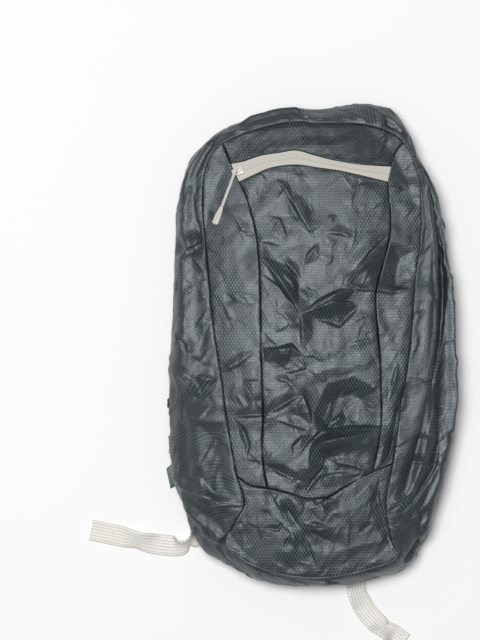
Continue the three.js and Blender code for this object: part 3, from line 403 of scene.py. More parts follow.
# Large facets of the front that lie in shade: rise, width of their gentle flanks, how many of the
# outline's first edges are steep crests, and the outline in mm
frontFacets = [
    (-9.0, 12, 3, [(87, -44), (81, -74), (76, -93), (74, -110), (62, -114), (66, -93), (76, -62)]),
    (6.5, 24, 1, [(71, 100), (30, 62), (57, 52)]),
    (-7.0, 18, 1, [(62, 54), (90, 52), (96, 89), (73, 98)]),
    (5.0, 15, 3, [(42, 37), (35, 41), (17, 43), (-8, 31), (1, 24), (24, 19)]),
    (4.5, 15, 3, [(-10, -10), (-20, 0), (-30, -1), (-46, -1), (-45, -14), (-36, -22), (-20, -24), (-8, -21)]),
    (-7.0, 16, 1, [(66, -76), (4, -79), (1, -62), (14, -36), (38, -29), (60, -40)]),
    (6.5, 27, 5, [(60, -80), (38, -82), (18, -84), (4, -89), (-1, -97), (-4, -112), (21, -117),
                  (53, -110), (70, -93)]),
    (4.0, 16, 2, [(26, -134), (12, -142), (-4, -141), (-5, -151), (7, -165), (24, -158)]),
    (3.2, 14, 1, [(18, -170), (-9, -169), (-1, -186), (21, -186)]),
    (3.6, 14, 2, [(77, -5), (80, -25), (77, -43), (68, -58), (63, -46), (68, -18)]),
    (3.6, 16, 1, [(-65, -32), (-47, -32), (-47, -64), (-62, -62)]),
    (4.0, 15, 1, [(-47, 101), (-52, 101), (-53, 78), (-42, 72), (-40, 87)]),
]
gussetFacets = [
    (4.0, 9, 1, [(-115, -29), (-103, -49), (-112, -48), (-123, -35)]),
    (4.5, 14, 1, [(-109, -29), (-89, -32), (-93, -44), (-102, -53)]),
    (-2.4, 12, 0, [(-110, -71), (-81, -73), (-68, -148), (-92, -143), (-104, -115)]),
    (3.5, 12, 1, [(-116, 95), (-101, 99), (-103, 88), (-126, 84)]),
    (4.0, 14, 1, [(61, 205), (84, 206), (74, 202)]),
]
# Shares of the tables' rises that suit the photo's light and shade
broadShare = 0.5
creaseShare = 1.35


steepFlank = 2.2


def facetHeight(x, y, rise, wide, steepEdges, points):
    # A low roof over a convex outline: its first edges fall steeply, the others over a wide flank.
    # Its height is the rise times the least of the distances from the edges, each over its width.
    points = np.asarray(points, float)
    after = np.roll(points, -1, axis=0)
    area = (points[:, 0] * after[:, 1] - after[:, 0] * points[:, 1]).sum()
    share = np.ones_like(x)
    for number, ((x0, y0), (x1, y1)) in enumerate(zip(points, after)):
        length = math.hypot(x1 - x0, y1 - y0)
        distance = ((x1 - x0) * (y - y0) - (y1 - y0) * (x - x0)) / length * (1 if area > 0 else -1)
        width = steepFlank if number < steepEdges else wide
        share = np.minimum(share, distance / width)
    return rise * np.clip(share, 0, 1)


def drawnHeight(x, y, facetRows, creaseRows, share=1.0):
    # The facets and, to a share, the creases of two tables
    height = sum(facetHeight(x, y, *row) for row in facetRows)
    return height + share * sum(creaseHeight(x, y, *row) for row in creaseRows)


def frontHeight(x, y):
    return frontBase(x, y) + drawnHeight(x, y, frontFacets, frontCreases, creaseShare)


def crumple(x, y, seed, count, low, high, rise, lean=None):
    # Small random creases: thin bent crests with one steep flank and one wide one. Half their length
    # lies between low and high, and a lean gives the turn that they keep to.
    random = np.random.default_rng(seed)
    height = np.zeros_like(x)
    xLow, xHigh, yLow, yHigh = x.min(), x.max(), y.min(), y.max()
    for _ in range(count):
        cx, cy = random.uniform(xLow, xHigh), random.uniform(yLow, yHigh)
        turn = random.uniform(0, math.pi)
        if lean is not None:
            turn = lean(cx, cy) + random.normal(0, 0.55)
        bend = random.normal(0, 0.35)
        length = random.uniform(low, high)
        points = [
            (cx - length * math.cos(turn), cy - length * math.sin(turn)), (cx, cy),
            (cx + length * math.cos(turn + bend), cy + length * math.sin(turn + bend)),
        ]
        sign = random.choice([-1, 1], p=[0.4, 0.6])
        steep, wide = random.uniform(0.6, 1.3), random.uniform(5, 14)
        left, right = (steep, wide) if random.uniform() < 0.5 else (wide, steep)
        size = rise * random.uniform(0.3, 1.0) * (0.5 + length / high)
        height += creaseHeight(x, y, sign * size, left, right, points, 0.02)
    return height


def smoothNoise(x, y, seed, size):
    # Value noise: random heights on a square grid, blended by the smooth step between its corners
    random = np.random.default_rng(seed)
    table = random.uniform(-1, 1, (64, 64))
    px, py = x / size + 17.3, y / size + 29.1
    ix, iy = np.floor(px).astype(int), np.floor(py).astype(int)
    fx, fy = px - ix, py - iy
    fx, fy = fx * fx * (3 - 2 * fx), fy * fy * (3 - 2 * fy)
    at = lambda i, j: table[np.mod(i, 64), np.mod(j, 64)]
    low = at(ix, iy) * (1 - fx) + at(ix + 1, iy) * fx
    high = at(ix, iy + 1) * (1 - fx) + at(ix + 1, iy + 1) * fx
    return low * (1 - fy) + high * fy


def facets(x, y, seed, cell, rise, turn, stretch):
    # Flat facets with sharp edges: random heights on a warped triangle grid, joined by planes
    random = np.random.default_rng(seed)
    table = random.uniform(-1, 1, (64, 64))
    wx = x + 0.55 * cell * smoothNoise(x, y, seed + 1, cell * 1.7)
    wy = y + 0.55 * cell * smoothNoise(x, y, seed + 2, cell * 1.7)
    px = (wx * math.cos(turn) + wy * math.sin(turn)) / (cell * stretch) + 31.7
    py = (wy * math.cos(turn) - wx * math.sin(turn)) / cell + 23.3
    px = px + 0.5 * py
    ix, iy = np.floor(px).astype(int), np.floor(py).astype(int)
    fx, fy = px - ix, py - iy
    at = lambda i, j: table[np.mod(i, 64), np.mod(j, 64)]
    corner, right, top, far = at(ix, iy), at(ix + 1, iy), at(ix, iy + 1), at(ix + 1, iy + 1)
    lower = corner + fx * (right - corner) + fy * (top - corner)
    upper = far + (1 - fx) * (top - far) + (1 - fy) * (right - far)
    return rise * np.where(fx + fy < 1, lower, upper)


def crinkle(x, y, seed, strength=1.0):
    # Crumpled cloth: broad and fine facets of different turns, stronger in some places
    broad = facets(x, y, seed, 17.0, 1.1, 0.5, 1.9) + facets(x, y, seed + 5, 11.0, 0.6, 2.1, 1.6)
    fine = facets(x, y, seed + 9, 6.0, 0.22, 1.2, 1.5)
    where = 0.75 + 0.55 * smoothNoise(x, y, seed + 13, 34.0)
    return strength * where * (broad + fine)


def spacedShares(length, step):
    # Shares of a length with fine steps at both ends for the seams' grooves, even ones between
    fine = np.cumsum([0, 0.3, 0.35, 0.4, 0.5, 0.7])
    inner = max(2, int(round((length - 2 * fine[-1]) / step)))
    middle = np.linspace(fine[-1], length - fine[-1], inner + 1)
    return np.concatenate([fine[:-1], middle, length - fine[-2::-1]]) / length


def seamCurvePart(first, last):
    return lambda parts: seamAt(first + (last - first) * np.asarray(parts))


def edgeOf(rows, backwards=False):
    points = shares(rows)
    if backwards:
        return lambda parts: evenPoints(points, 1 - np.asarray(parts))
    return lambda parts: evenPoints(points, parts)


def filledPlan(edges, acrossStep, upStep):
    # Coons patch: the mean of the fills between opposite edges, less the fill of the corners
    length = lambda edge: runLengths(edge(np.linspace(0, 1, 60)))[-1]
    across = spacedShares(max(length(edges["top"]), length(edges["bottom"])), acrossStep)
    up = spacedShares(max(length(edges["left"]), length(edges["right"])), upStep)
    bottom, top = edges["bottom"](across), edges["top"](across)
    left, right = edges["left"](up), edges["right"](up)
    u, v = across[None, :, None], up[:, None, None]
    grid = ((1 - v) * bottom[None] + v * top[None] + (1 - u) * left[:, None] + u * right[:, None]
            - (1 - u) * (1 - v) * bottom[0] - u * (1 - v) * bottom[-1]
            - (1 - u) * v * top[0] - u * v * top[-1])
    return grid


def edgeDistance(grid):
    # Distance in mm of each point of a grid from its four sides, counted along the grid's lines
    rows = np.linalg.norm(np.diff(grid, axis=0), axis=2)
    columns = np.linalg.norm(np.diff(grid, axis=1), axis=2)
    down = np.concatenate([np.zeros((1, grid.shape[1])), np.cumsum(rows, axis=0)])
    over = np.concatenate([np.zeros((grid.shape[0], 1)), np.cumsum(columns, axis=1)], axis=1)
    return down, down[-1] - down, over, over[:, -1:] - over


def sheetMesh(name, outer, thickness, uv):
    # A closed sheet of cloth: the outer grid, the same moved in along its normals, and a border
    rows, columns = outer.shape[:2]
    byRow = np.gradient(outer, axis=0)
    byColumn = np.gradient(outer, axis=1)
    inner = outer - unit(np.cross(byColumn, byRow)) * thickness
    points = np.concatenate([outer.reshape(-1, 3), inner.reshape(-1, 3)]) * metre
    index = np.arange(rows * columns).reshape(rows, columns)
    quads = np.stack([index[:-1, :-1], index[:-1, 1:], index[1:, 1:], index[1:, :-1]], axis=-1)
    quads = quads.reshape(-1, 4)
    under = quads[:, ::-1] + rows * columns
    ring = np.concatenate([index[0, :-1], index[:-1, -1], index[-1, :0:-1], index[:0:-1, 0]])
    after = np.roll(ring, -1)
    border = np.stack([after, ring, ring + rows * columns, after + rows * columns], axis=-1)
    faces = np.concatenate([quads, under, border])
    return meshObject(name, points, faces, np.concatenate([uv.reshape(-1, 2)] * 2) * metre)


def meshObject(name, points, faces, uv=None, smooth=True):
    mesh = bpy.data.meshes.new(name)
    mesh.vertices.add(len(points))
    mesh.vertices.foreach_set("co", np.asarray(points, np.float32).ravel())
    sizes = faces.shape[1]
    mesh.loops.add(faces.size)
    mesh.loops.foreach_set("vertex_index", faces.ravel().astype(np.int32))
    mesh.polygons.add(len(faces))
    mesh.polygons.foreach_set("loop_start", np.arange(0, faces.size, sizes, dtype=np.int32))
    mesh.polygons.foreach_set("loop_total", np.full(len(faces), sizes, dtype=np.int32))
    mesh.polygons.foreach_set("use_smooth", np.full(len(faces), smooth))
    if uv is not None:
        layer = mesh.uv_layers.new(name="cloth")
        layer.data.foreach_set("uv", uv[faces.ravel()].astype(np.float32).ravel())
    mesh.update(calc_edges=True)
    mesh.validate()
    piece = bpy.data.objects.new(name, mesh)
    bpy.context.scene.collection.objects.link(piece)
    return piece


def toLinear(code):
    # sRGB hex to linear colour
    values = [int(code[i:i + 2], 16) / 255 for i in (1, 3, 5)]
    linear = [v / 12.92 if v <= 0.04045 else ((v + 0.055) / 1.055) ** 2.4 for v in values]
    return (*linear, 1.0)


def addNode(tree, kind, links=None, **settings):
    # A node with settings: names of properties, or of inputs in links, to values or sockets
    node = tree.nodes.new(kind)
    for key, value in settings.items():
        setattr(node, key, value)
    for key, value in (links or {}).items():
        if isinstance(value, bpy.types.NodeSocket):
            tree.links.new(value, node.inputs[key])
        else:
            node.inputs[key].default_value = value
    return node


# Real sizes in metres: the honeycomb's cell, the webbing's rows of floats and the floats' pitch
honeycombCell = 0.003
floatRowGap = 0.0029
floatPitch = 0.0022


def newMaterial(name):
    material = bpy.data.materials.new(name)
    material.use_nodes = True
    tree = material.node_tree
    tree.nodes.clear()
    output = tree.nodes.new("ShaderNodeOutputMaterial")
    shader = tree.nodes.new("ShaderNodeBsdfPrincipled")
    tree.links.new(shader.outputs["BSDF"], output.inputs["Surface"])
    return material, tree, shader


def mathNode(tree, operation, first, second=0.0):
    return addNode(tree, "ShaderNodeMath", {0: first, 1: second}, operation=operation).outputs[0]


def vectorNode(tree, operation, first, second=(0, 0, 0), out=0):
    links = {0: first, 1: second}
    return addNode(tree, "ShaderNodeVectorMath", links, operation=operation).outputs[out]


def noise(tree, place, scale, detail):
    links = {"Vector": place, "Scale": scale, "Detail": detail}
    return addNode(tree, "ShaderNodeTexNoise", links).outputs[0]


def mapped(tree, value, low, high, first, second):
    # A value that runs from the first to the second as another goes from low to high
    return addNode(tree, "ShaderNodeMapRange", {0: value, 1: low, 2: high, 3: first, 4: second}).outputs[0]


def mixed(tree, share, first, second, **settings):
    # Colour between two hex colours
    links = {0: share, 6: toLinear(first), 7: toLinear(second)}
    return addNode(tree, "ShaderNodeMix", links, data_type="RGBA", **settings).outputs[2]


def tinted(tree, shader, colour, tone):
    # Base colour: a colour times a tone
    shade = addNode(tree, "ShaderNodeMix", {0: 1.0, 6: colour, 7: tone}, data_type="RGBA",
                    blend_type="MULTIPLY")
    tree.links.new(shade.outputs[2], shader.inputs["Base Color"])


def raised(tree, shader, height, strength, distance):
    # Relief from a pattern's height, its full depth in metres
    links = {"Height": height, "Strength": strength, "Distance": distance}
    tree.links.new(addNode(tree, "ShaderNodeBump", links).outputs[0], shader.inputs["Normal"])


def clothPlace(tree):
    # Place on the cloth in metres, from the mesh's own layer
    return addNode(tree, "ShaderNodeUVMap", uv_map="cloth").outputs[0]


def hexCells(tree, place):
    # Distance from the sides of a honeycomb cell, 0 at the side and 0.5 in the middle: the nearer
    # of two staggered rectangular grids' middles, measured across the cell's three directions
    size = (1.0, 1.7320508, 1.0)
    half = (0.5, 0.8660254, 0.0)
    first = vectorNode(tree, "SUBTRACT", vectorNode(tree, "MODULO", place, size), half)
    moved = vectorNode(tree, "SUBTRACT", place, half)
    second = vectorNode(tree, "SUBTRACT", vectorNode(tree, "MODULO", moved, size), half)
    lengths = [vectorNode(tree, "DOT_PRODUCT", v, v, out=1) for v in (first, second)]
    nearer = mathNode(tree, "LESS_THAN", lengths[0], lengths[1])
    mix = addNode(tree, "ShaderNodeMix", data_type="VECTOR")
    tree.links.new(nearer, mix.inputs[0])
    tree.links.new(second, mix.inputs[4])
    tree.links.new(first, mix.inputs[5])
    flat = vectorNode(tree, "ABSOLUTE", mix.outputs[1])
    parts = addNode(tree, "ShaderNodeSeparateXYZ", {0: flat})
    slant = mathNode(tree, "ADD", mathNode(tree, "MULTIPLY", parts.outputs[0], 0.5),
                     mathNode(tree, "MULTIPLY", parts.outputs[1], 0.8660254))
    upright = mathNode(tree, "GREATER_THAN", parts.outputs[0], slant)
    return mathNode(tree, "SUBTRACT", 0.5, mathNode(tree, "MAXIMUM", parts.outputs[0], slant)), upright


# Ripstop nylon: a plain weave with a honeycomb of thicker, shinier threads, cells of 3 mm. The upright
# threads glint in patches, as where the cloth lies level to the light: this glint is a painted highlight, a
# brighter thread colour put into the base colour, and it also lowers the roughness there.
def ripstop(name, ground, threads, gloss=1.0):
    material, tree, shader = newMaterial(name)
    uv = clothPlace(tree)
    scaled = addNode(tree, "ShaderNodeVectorMath", {0: uv, 3: 1 / honeycombCell}, operation="SCALE")
    cell, upright = hexCells(tree, vectorNode(tree, "ADD", scaled.outputs[0], (100.0, 100.0, 0.0)))
    line = mapped(tree, cell, 0.05, 0.15, 1.0, 0.0)
    glintPatches = mapped(tree, noise(tree, uv, 34.0, 2.0), 0.45, 0.68, 0.12, 1.0)
    # glint: painted highlight on the upright threads, in patches, brightening the base colour
    glint = mathNode(tree, "MULTIPLY", mathNode(tree, "MULTIPLY", line, upright), glintPatches)
    # base colour share: the threads' own lighter tone plus the painted glint
    amount = mathNode(tree, "ADD", mathNode(tree, "MULTIPLY", line, noise(tree, uv, 900.0, 2.0)),
                      mathNode(tree, "MULTIPLY", glint, 3.2))
    colour = mixed(tree, amount, ground, threads, clamp_factor=False)
    tinted(tree, shader, colour, mapped(tree, noise(tree, uv, 22.0, 4.0), 0.3, 0.7, 0.92, 1.06))
    plain = mapped(tree, noise(tree, uv, 620.0, 3.0), 0.3, 0.7, 0.45, 0.385)
    rough = mathNode(tree, "SUBTRACT", plain, mathNode(tree, "MULTIPLY", glint, 0.09))
    tree.links.new(rough, shader.inputs["Roughness"])
    shader.inputs["Specular IOR Level"].default_value = 0.9 * gloss
    shader.inputs["Specular Tint"].default_value = toLinear("#f4fcff")
    wide = vectorNode(tree, "MULTIPLY", uv, (2800.0, 2800.0, 0.0))
    weave = addNode(tree, "ShaderNodeTexChecker", {"Vector": wide, "Scale": 1.0})
    height = mathNode(tree, "ADD", line, mathNode(tree, "MULTIPLY", weave.outputs[1], 0.25))
    raised(tree, shader, height, 0.5, 0.00018)
    return material


# Knitted zip tape: fine stitches as a checker of light and dark, and faint blotches
def tape(name, light, dark):
    material, tree, shader = newMaterial(name)
    uv = clothPlace(tree)
    wide = vectorNode(tree, "MULTIPLY", uv, (900.0, 1400.0, 0.0))
    weave = addNode(tree, "ShaderNodeTexChecker", {"Vector": wide, "Scale": 1.0}).outputs[1]
    amount = mathNode(tree, "ADD", mathNode(tree, "MULTIPLY", weave, 0.35),
                      mathNode(tree, "MULTIPLY", noise(tree, uv, 60.0, 3.0), 0.3))
    tree.links.new(mixed(tree, amount, light, dark), shader.inputs["Base Color"])
    shader.inputs["Roughness"].default_value = 0.8
    raised(tree, shader, weave, 0.5, 0.0002)
    return material


# Flat-woven polyester webbing: rows of short darker floats, 2.9 mm apart, each row half a float on
def wovenWebbing(name, light, dark):
    material, tree, shader = newMaterial(name)
    uv = clothPlace(tree)
    parts = addNode(tree, "ShaderNodeSeparateXYZ", {0: uv})
    across = mathNode(tree, "MULTIPLY", parts.outputs[0], 1 / floatRowGap)
    along = mathNode(tree, "ADD", mathNode(tree, "MULTIPLY", parts.outputs[1], 1 / floatPitch),
                     mathNode(tree, "MULTIPLY", mathNode(tree, "FLOOR", across), 0.5))
    fromRow = mathNode(tree, "ABSOLUTE", mathNode(tree, "SUBTRACT", mathNode(tree, "FRACT", across), 0.5))
    inRow = mathNode(tree, "LESS_THAN", fromRow, 0.15)
    onFloat = mathNode(tree, "LESS_THAN", mathNode(tree, "FRACT", along), 0.55)
    pattern = mathNode(tree, "MULTIPLY", inRow, onFloat)
    amount = mathNode(tree, "MULTIPLY", pattern, noise(tree, uv, 240.0, 2.0))
    colour = mixed(tree, mathNode(tree, "MULTIPLY", amount, 1.5), light, dark)
    tree.links.new(colour, shader.inputs["Base Color"])
    shader.inputs["Roughness"].default_value = 0.8
    ribs = addNode(tree, "ShaderNodeTexChecker", {"Vector": uv, "Scale": 900.0})
    height = mathNode(tree, "SUBTRACT", mathNode(tree, "MULTIPLY", ribs.outputs[1], 0.4), amount)
    raised(tree, shader, height, 0.5, 0.0003)
    return material


# Moulded plastic and enamel: smooth, with a fine grain and a slight sheen
def moulded(name, colour, rough):
    material, tree, shader = newMaterial(name)
    place = addNode(tree, "ShaderNodeTexCoord").outputs["Object"]
    blotch = noise(tree, place, 90.0, 3.0)
    tinted(tree, shader, toLinear(colour), mapped(tree, blotch, 0.3, 0.7, 0.92, 1.05))
    raised(tree, shader, noise(tree, place, 1400.0, 3.0), 0.2, 0.0001)
    shader.inputs["Roughness"].default_value = rough
    return material


# Braided cord: cream strands crossing in a fine diamond, darker in the grooves between them as painted shade
def braid(name, colour):
    material, tree, shader = newMaterial(name)
    parts = addNode(tree, "ShaderNodeSeparateXYZ", {0: clothPlace(tree)})
    rise = mathNode(tree, "MULTIPLY", parts.outputs[1], 5200.0)
    turn = mathNode(tree, "MULTIPLY", parts.outputs[0], 6 * 2 * math.pi)
    first = mathNode(tree, "SINE", mathNode(tree, "ADD", rise, turn))
    second = mathNode(tree, "SINE", mathNode(tree, "SUBTRACT", rise, turn))
    height = mathNode(tree, "MAXIMUM", first, second)
    # the tone falls to 0.62 in the grooves between strands: painted shade
    tinted(tree, shader, toLinear(colour), mapped(tree, height, -0.6, 1.0, 0.62, 1.0))
    raised(tree, shader, height, 0.6, 0.0002)
    shader.inputs["Roughness"].default_value = 0.8
    return material


# Twisted sewing thread, dark on the grey cloth
def sewingThread(name, colour):
    material, tree, shader = newMaterial(name)
    place = addNode(tree, "ShaderNodeTexCoord").outputs["Object"]
    twist = noise(tree, place, 1800.0, 2.0)
    tinted(tree, shader, toLinear(colour), mapped(tree, twist, 0.3, 0.7, 0.75, 1.15))
    shader.inputs["Roughness"].default_value = 0.6
    return material


nylon = ripstop("ripstop_nylon_slate", "#1b2125", "#3f494d")
# Darker, less glossy copy of the nylon for the top yoke: painted shade for cloth that slopes away from the
# light
nylonShaded = ripstop("ripstop_nylon_slate_painted_shade", "#1a1e20", "#394144", 0.6)
strapMaterial = ripstop("strap_face_nylon", "#23282a", "#4a5154")
zipTape = tape("cream_zip_tape", "#c8c6bc", "#b0ada3")
darkTape = tape("dark_zip_tape", "#3a4044", "#2b3033")
webbing = wovenWebbing("cream_webbing", "#e9e6df", "#8f9692")
lightPlastic = moulded("cream_acetal", "#c3c1b8", 0.45)
sliderPaint = moulded("cream_enamel", "#cfcdc4", 0.35)
darkPaint = moulded("dark_enamel", "#2c3134", 0.35)
coilPlastic = moulded("dark_zip_coil", "#1f2325", 0.4)
braidedCream = braid("cream_braided_cord", "#dcdad1")
thread = sewingThread("grey_thread", "#3b4144")


def roundedBlock(centre, axes, half, radius):
    # A block with rounded edges: each point of a cube's faces is pushed out of an inner block
    half = np.asarray(half, float)
    radius = min(radius, 0.98 * half.min())
    points, faces = [], []
    for axis in range(3):
        others = [k for k in range(3) if k != axis]
        for sign in (-1, 1):
            steps = [np.array([-half[k], -half[k] + 0.3 * radius, -half[k] + radius,
                               half[k] - radius, half[k] - 0.3 * radius, half[k]]) for k in others]
            a, b = np.meshgrid(steps[0], steps[1], indexing="ij")
            grid = np.zeros(a.shape + (3,))
            grid[..., others[0]], grid[..., others[1]], grid[..., axis] = a, b, sign * half[axis]
            index = np.arange(36).reshape(6, 6) + 36 * len(points)
            quad = np.stack([index[:-1, :-1], index[1:, :-1], index[1:, 1:], index[:-1, 1:]], axis=-1)
            outward = (sign > 0) == (axis != 1)
            faces.append(quad.reshape(-1, 4) if outward else quad.reshape(-1, 4)[:, ::-1])
            points.append(grid.reshape(-1, 3))
    points, faces = np.concatenate(points), np.concatenate(faces)
    core = np.clip(points, -(half - radius), half - radius)
    points = core + unit(points - core) * radius
    unique, back = np.unique(np.round(points, 5), axis=0, return_inverse=True)
    return unique @ np.asarray(axes, float) + np.asarray(centre, float), back.ravel()[faces]


def joinedMesh(name, parts):
    # One mesh of several closed quad parts, in mm
    counts = [len(points) for points, _ in parts]
    starts = np.concatenate([[0], np.cumsum(counts)[:-1]])
    points = np.concatenate([points for points, _ in parts])
    faces = np.concatenate([faces + start for (_, faces), start in zip(parts, starts)])
    return meshObject(name, points * metre, faces)


# A stitch has four rings of six points: quads between them, and two across each end
stitchSides = [(6 * k + m, 6 * k + 6 + m, 6 * k + 6 + (m + 1) % 6, 6 * k + (m + 1) % 6)
               for k in range(3) for m in range(6)]
stitchFaces = np.array(stitchSides + [(0, 1, 2, 3), (0, 3, 4, 5), (21, 20, 19, 18), (23, 22, 21, 18)])
stitchRing = [(math.cos(a), math.sin(a)) for a in np.linspace(0, 2 * math.pi, 7)[:-1]]


def stitchRow(path, pitch=3.1, length=2.2, size=0.24):
    # Stitches along a path on the cloth: short blocks, half sunk, one after another, in mm. Their
    # ends are 0.35 as thick as their middle and dip 0.12 mm into the cloth.
    lengths = runLengths(path)
    at = lambda place: np.array([np.interp(place, lengths, path[:, k]) for k in range(3)])
    parts = []
    for start in np.arange(2.0, lengths[-1] - 3.0, pitch):
        first, last = at(start), at(start + length)
        if np.linalg.norm(last - first) < 0.5:
            continue
        run = unit(last - first)
        across = unit(np.cross(run, (0.0, 0.0, 1.0)))
        over = np.cross(across, run)
        rings = ((first, 0.35, 0.12), (first + run * 0.3, 1.0, 0.0), (last - run * 0.3, 1.0, 0.0),
                 (last, 0.35, 0.12))
        points = [place + (across * a + over * b) * size * scale - over * drop
                  for place, scale, drop in rings for a, b in stitchRing]
        parts.append((np.array(points), stitchFaces))
    return parts


def finish(piece, material, slot, *nodes):
    piece.data.materials.append(material)
    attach(piece, "root")
    if nodes:
        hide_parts(*nodes)
    return piece


def settle(distance, reach):
    # Small creases die out towards a seam
    return np.clip(distance / reach, 0, 1) ** 0.8


def seamDip(distance, x, y):
    # The cloth dips steeply into a seam, more in some places, and stands up a little beside it
    pull = np.clip(0.9 + 0.5 * smoothNoise(x, y, 71, 9.0) + 0.6 * smoothNoise(x, y, 73, 31.0), 0.25, 2.0)
    pucker = 0.35 * facets(x, y, 77, 5.0, 1.0, 0.9, 1.3) * np.exp(-distance / 5.0)
    return pull * (-1.5 * np.exp(-(distance / 0.6) ** 2) - 0.8 * np.exp(-distance / 2.5)) + pucker


def frontLean(x, y):
    # The creases of the front run down towards its middle line
    return math.radians(-58 if x < 8 else 55) + 0.3 * math.sin(y / 40)


def ringMesh(name, ring, uv=None):
    # A closed piece from rings of points: quads from ring to ring, and others across both ends
    rows, sides = ring.shape[:2]
    index = np.arange(rows * sides).reshape(rows, sides)
    after = np.roll(index, -1, axis=1)
    faces = [np.stack([index[:-1], index[1:], after[1:], after[:-1]], axis=-1).reshape(-1, 4)]
    half = np.arange(sides // 2 - 1)
    for row, backwards in ((index[0], False), (index[-1], True)):
        quad = np.stack([row[half], row[half + 1], row[sides - 2 - half], row[sides - 1 - half]], axis=-1)
        faces.append(quad[:, ::-1] if backwards else quad)
    return meshObject(name, ring.reshape(-1, 3), np.concatenate(faces),
                      None if uv is None else uv.reshape(-1, 2))


def tubeMesh(name, route, radius, sides=16):
    # A tube round a route in metres, its rings square to its run
    route = np.asarray(route, float)
    run = unit(np.gradient(route, axis=0))
    across = unit(np.cross(run, (0.0, 0.0, 1.0)))
    over = np.cross(across, run)
    turns = np.linspace(0, 2 * np.pi, sides, endpoint=False)
    ring = (np.cos(turns)[None, :, None] * across[:, None] + np.sin(turns)[None, :, None] * over[:, None])
    uv = np.dstack(np.broadcast_arrays(turns[None] / (2 * np.pi), runLengths(route)[:, None]))
    return ringMesh(name, route[:, None] + ring * radius, uv)


def smoothStep(value, low, high):
    # 0 below low, 1 above high, and 3 p^2 - 2 p^3 between
    part = np.clip((value - low) / (high - low), 0, 1)
    return part * part * (3 - 2 * part)


def seatFrame(x, y, direction):
    # Axes of a thing seated on the front: across, ahead and up, from the slope of its broad form
    slopeX = (frontBase(np.array(x + 4.0), y) - frontBase(np.array(x - 4.0), y)) / 8
    slopeY = (frontBase(np.array(x), y + 4.0) - frontBase(np.array(x), y - 4.0)) / 8
    up = unit([-float(slopeX), -float(slopeY), 1.0])
    ahead = np.array(direction, float)
    ahead = unit(ahead - up * ahead.dot(up))
    return np.array([np.cross(ahead, up), ahead, up])


# Cord end: a moulded sleeve, narrow at the cord, flat and ribbed where the fingers hold it
cordRun = unit(np.array(cordRoute[-1]) - np.array(cordRoute[-2]))
tipAxes = seatFrame(cordRoute[-1][0] / metre, cordRoute[-1][1] / metre, cordRun)
tipStart = np.array(cordRoute[-1]) / metre + cordRun * seamGap
tipLength = 18.0
part = np.concatenate([[0, 0.012], np.linspace(0.03, 0.97, 60), [0.988, 1.0]])
swell = smoothStep(part, 0.0, 0.55)
endRound = np.sqrt(np.clip(1 - ((part - 0.9) / 0.1).clip(0, 1) ** 2, 0.04, 1))
ribs = 1 - 0.09 * (np.sin(part * 2 * np.pi * 9) > 0.55) * ((part > 0.32) & (part < 0.86))
halfAcross = (1.75 + 1.45 * swell) * endRound * ribs
halfUp = (1.65 + 0.35 * swell) * endRound * ribs
turns = np.linspace(0, 2 * np.pi, 28, endpoint=False)
box = lambda v: np.sign(v) * np.abs(v) ** 0.6
ring = (tipStart + part[:, None, None] * tipLength * tipAxes[1]
        + (halfAcross[:, None] * box(np.cos(turns))[None])[..., None] * tipAxes[0]
        + (halfUp[:, None] * box(np.sin(turns))[None])[..., None] * tipAxes[2])
cordTip = ringMesh("pocket_pull_tip", ring * metre)
finish(cordTip, lightPlastic, "light_plastic", "pocket_pull_tip")

cordPath = splinePoints(cordRoute, np.linspace(0, len(cordRoute) - 1, 90))
cord = tubeMesh("pull_cord", cordPath, cordDiameter / 2)
finish(cord, braidedCream, "zip_tape", "pocket_pull_cord")


frontPieces = [
    # The yoke takes the darker nylon copy, painted shade
    dict(name="front_top_yoke", material=nylonShaded, step=1.2, seed=11, creases=26,
         stitches=[("bottom", 1.8)],
         edges=dict(top=seamCurvePart(0, topRight), bottom=edgeOf(zipTopEdge),
                    left=edgeOf(leftSeam[:2], True), right=edgeOf(rightSeam[:3], True))),
    dict(name="front_centre_panel", material=nylon, step=1.0, seed=12, creases=150,
         stitches=[("top", 1.8)],
         edges=dict(top=edgeOf(zipBottomEdge), bottom=edgeOf(arcSeam[2:9]),
                    left=edgeOf(leftSeam[2:], True), right=edgeOf(rightSeam[3:], True))),
    dict(name="front_left_strip", material=nylon, step=1.1, seed=13, creases=60,
         edges=dict(top=seamCurvePart(stationCount - 0.2, stationCount), bottom=edgeOf(arcSeam[:3]),
                    left=seamCurvePart(arcLeft, stationCount - 0.2), right=edgeOf(leftSeam, True))),
    dict(name="front_right_strip", material=nylon, step=1.1, seed=14, creases=60,
         stitches=[("left", 2.2)],
         edges=dict(top=seamCurvePart(topRight, topRight + 0.2), bottom=edgeOf(arcSeam[8:]),
                    left=edgeOf(rightSeam, True), right=seamCurvePart(arcRight, topRight + 0.2))),
    dict(name="front_bottom_panel", material=nylon, step=1.1, seed=15, creases=80,
         stitches=[("top", 2.2)],
         edges=dict(top=edgeOf(arcSeam), bottom=seamCurvePart(bottomLeft, bottomRight),
                    left=seamCurvePart(bottomLeft, arcLeft), right=seamCurvePart(bottomRight, arcRight))),
]
stitches = []
for row in frontPieces:
    plan = filledPlan(row["edges"], row["step"], row["step"])
    x, y = plan[..., 0], plan[..., 1]
    sides = edgeDistance(plan)
    nearest = np.minimum.reduce(sides)
    # Small creases half 3 to 15 mm long and up to 0.9 mm high, which die out over 5 mm at the seams
    small = crumple(x, y, row["seed"], row["creases"], 3, 15, 0.9, frontLean)
    small = small + crinkle(x, y, row["seed"] + 40)
    height = frontHeight(x, y) + small * settle(nearest, 5) + seamDip(nearest, x, y)
    outer = np.dstack([x, y, height])
    for side, distance in row.get("stitches", ()):
        fromSide = dict(zip(("bottom", "top", "left", "right"), sides))[side].mean(
            axis=1 if side in ("bottom", "top") else 0)
        nearestLine = int(np.argmin(np.abs(fromSide - distance)))
        path = outer[nearestLine] if side in ("bottom", "top") else outer[:, nearestLine]
        stitches += stitchRow(path)
    piece = sheetMesh(row["name"], outer, clothThickness, plan)
    finish(piece, row["material"], "ripstop_nylon", row["name"])
print("front panels made")

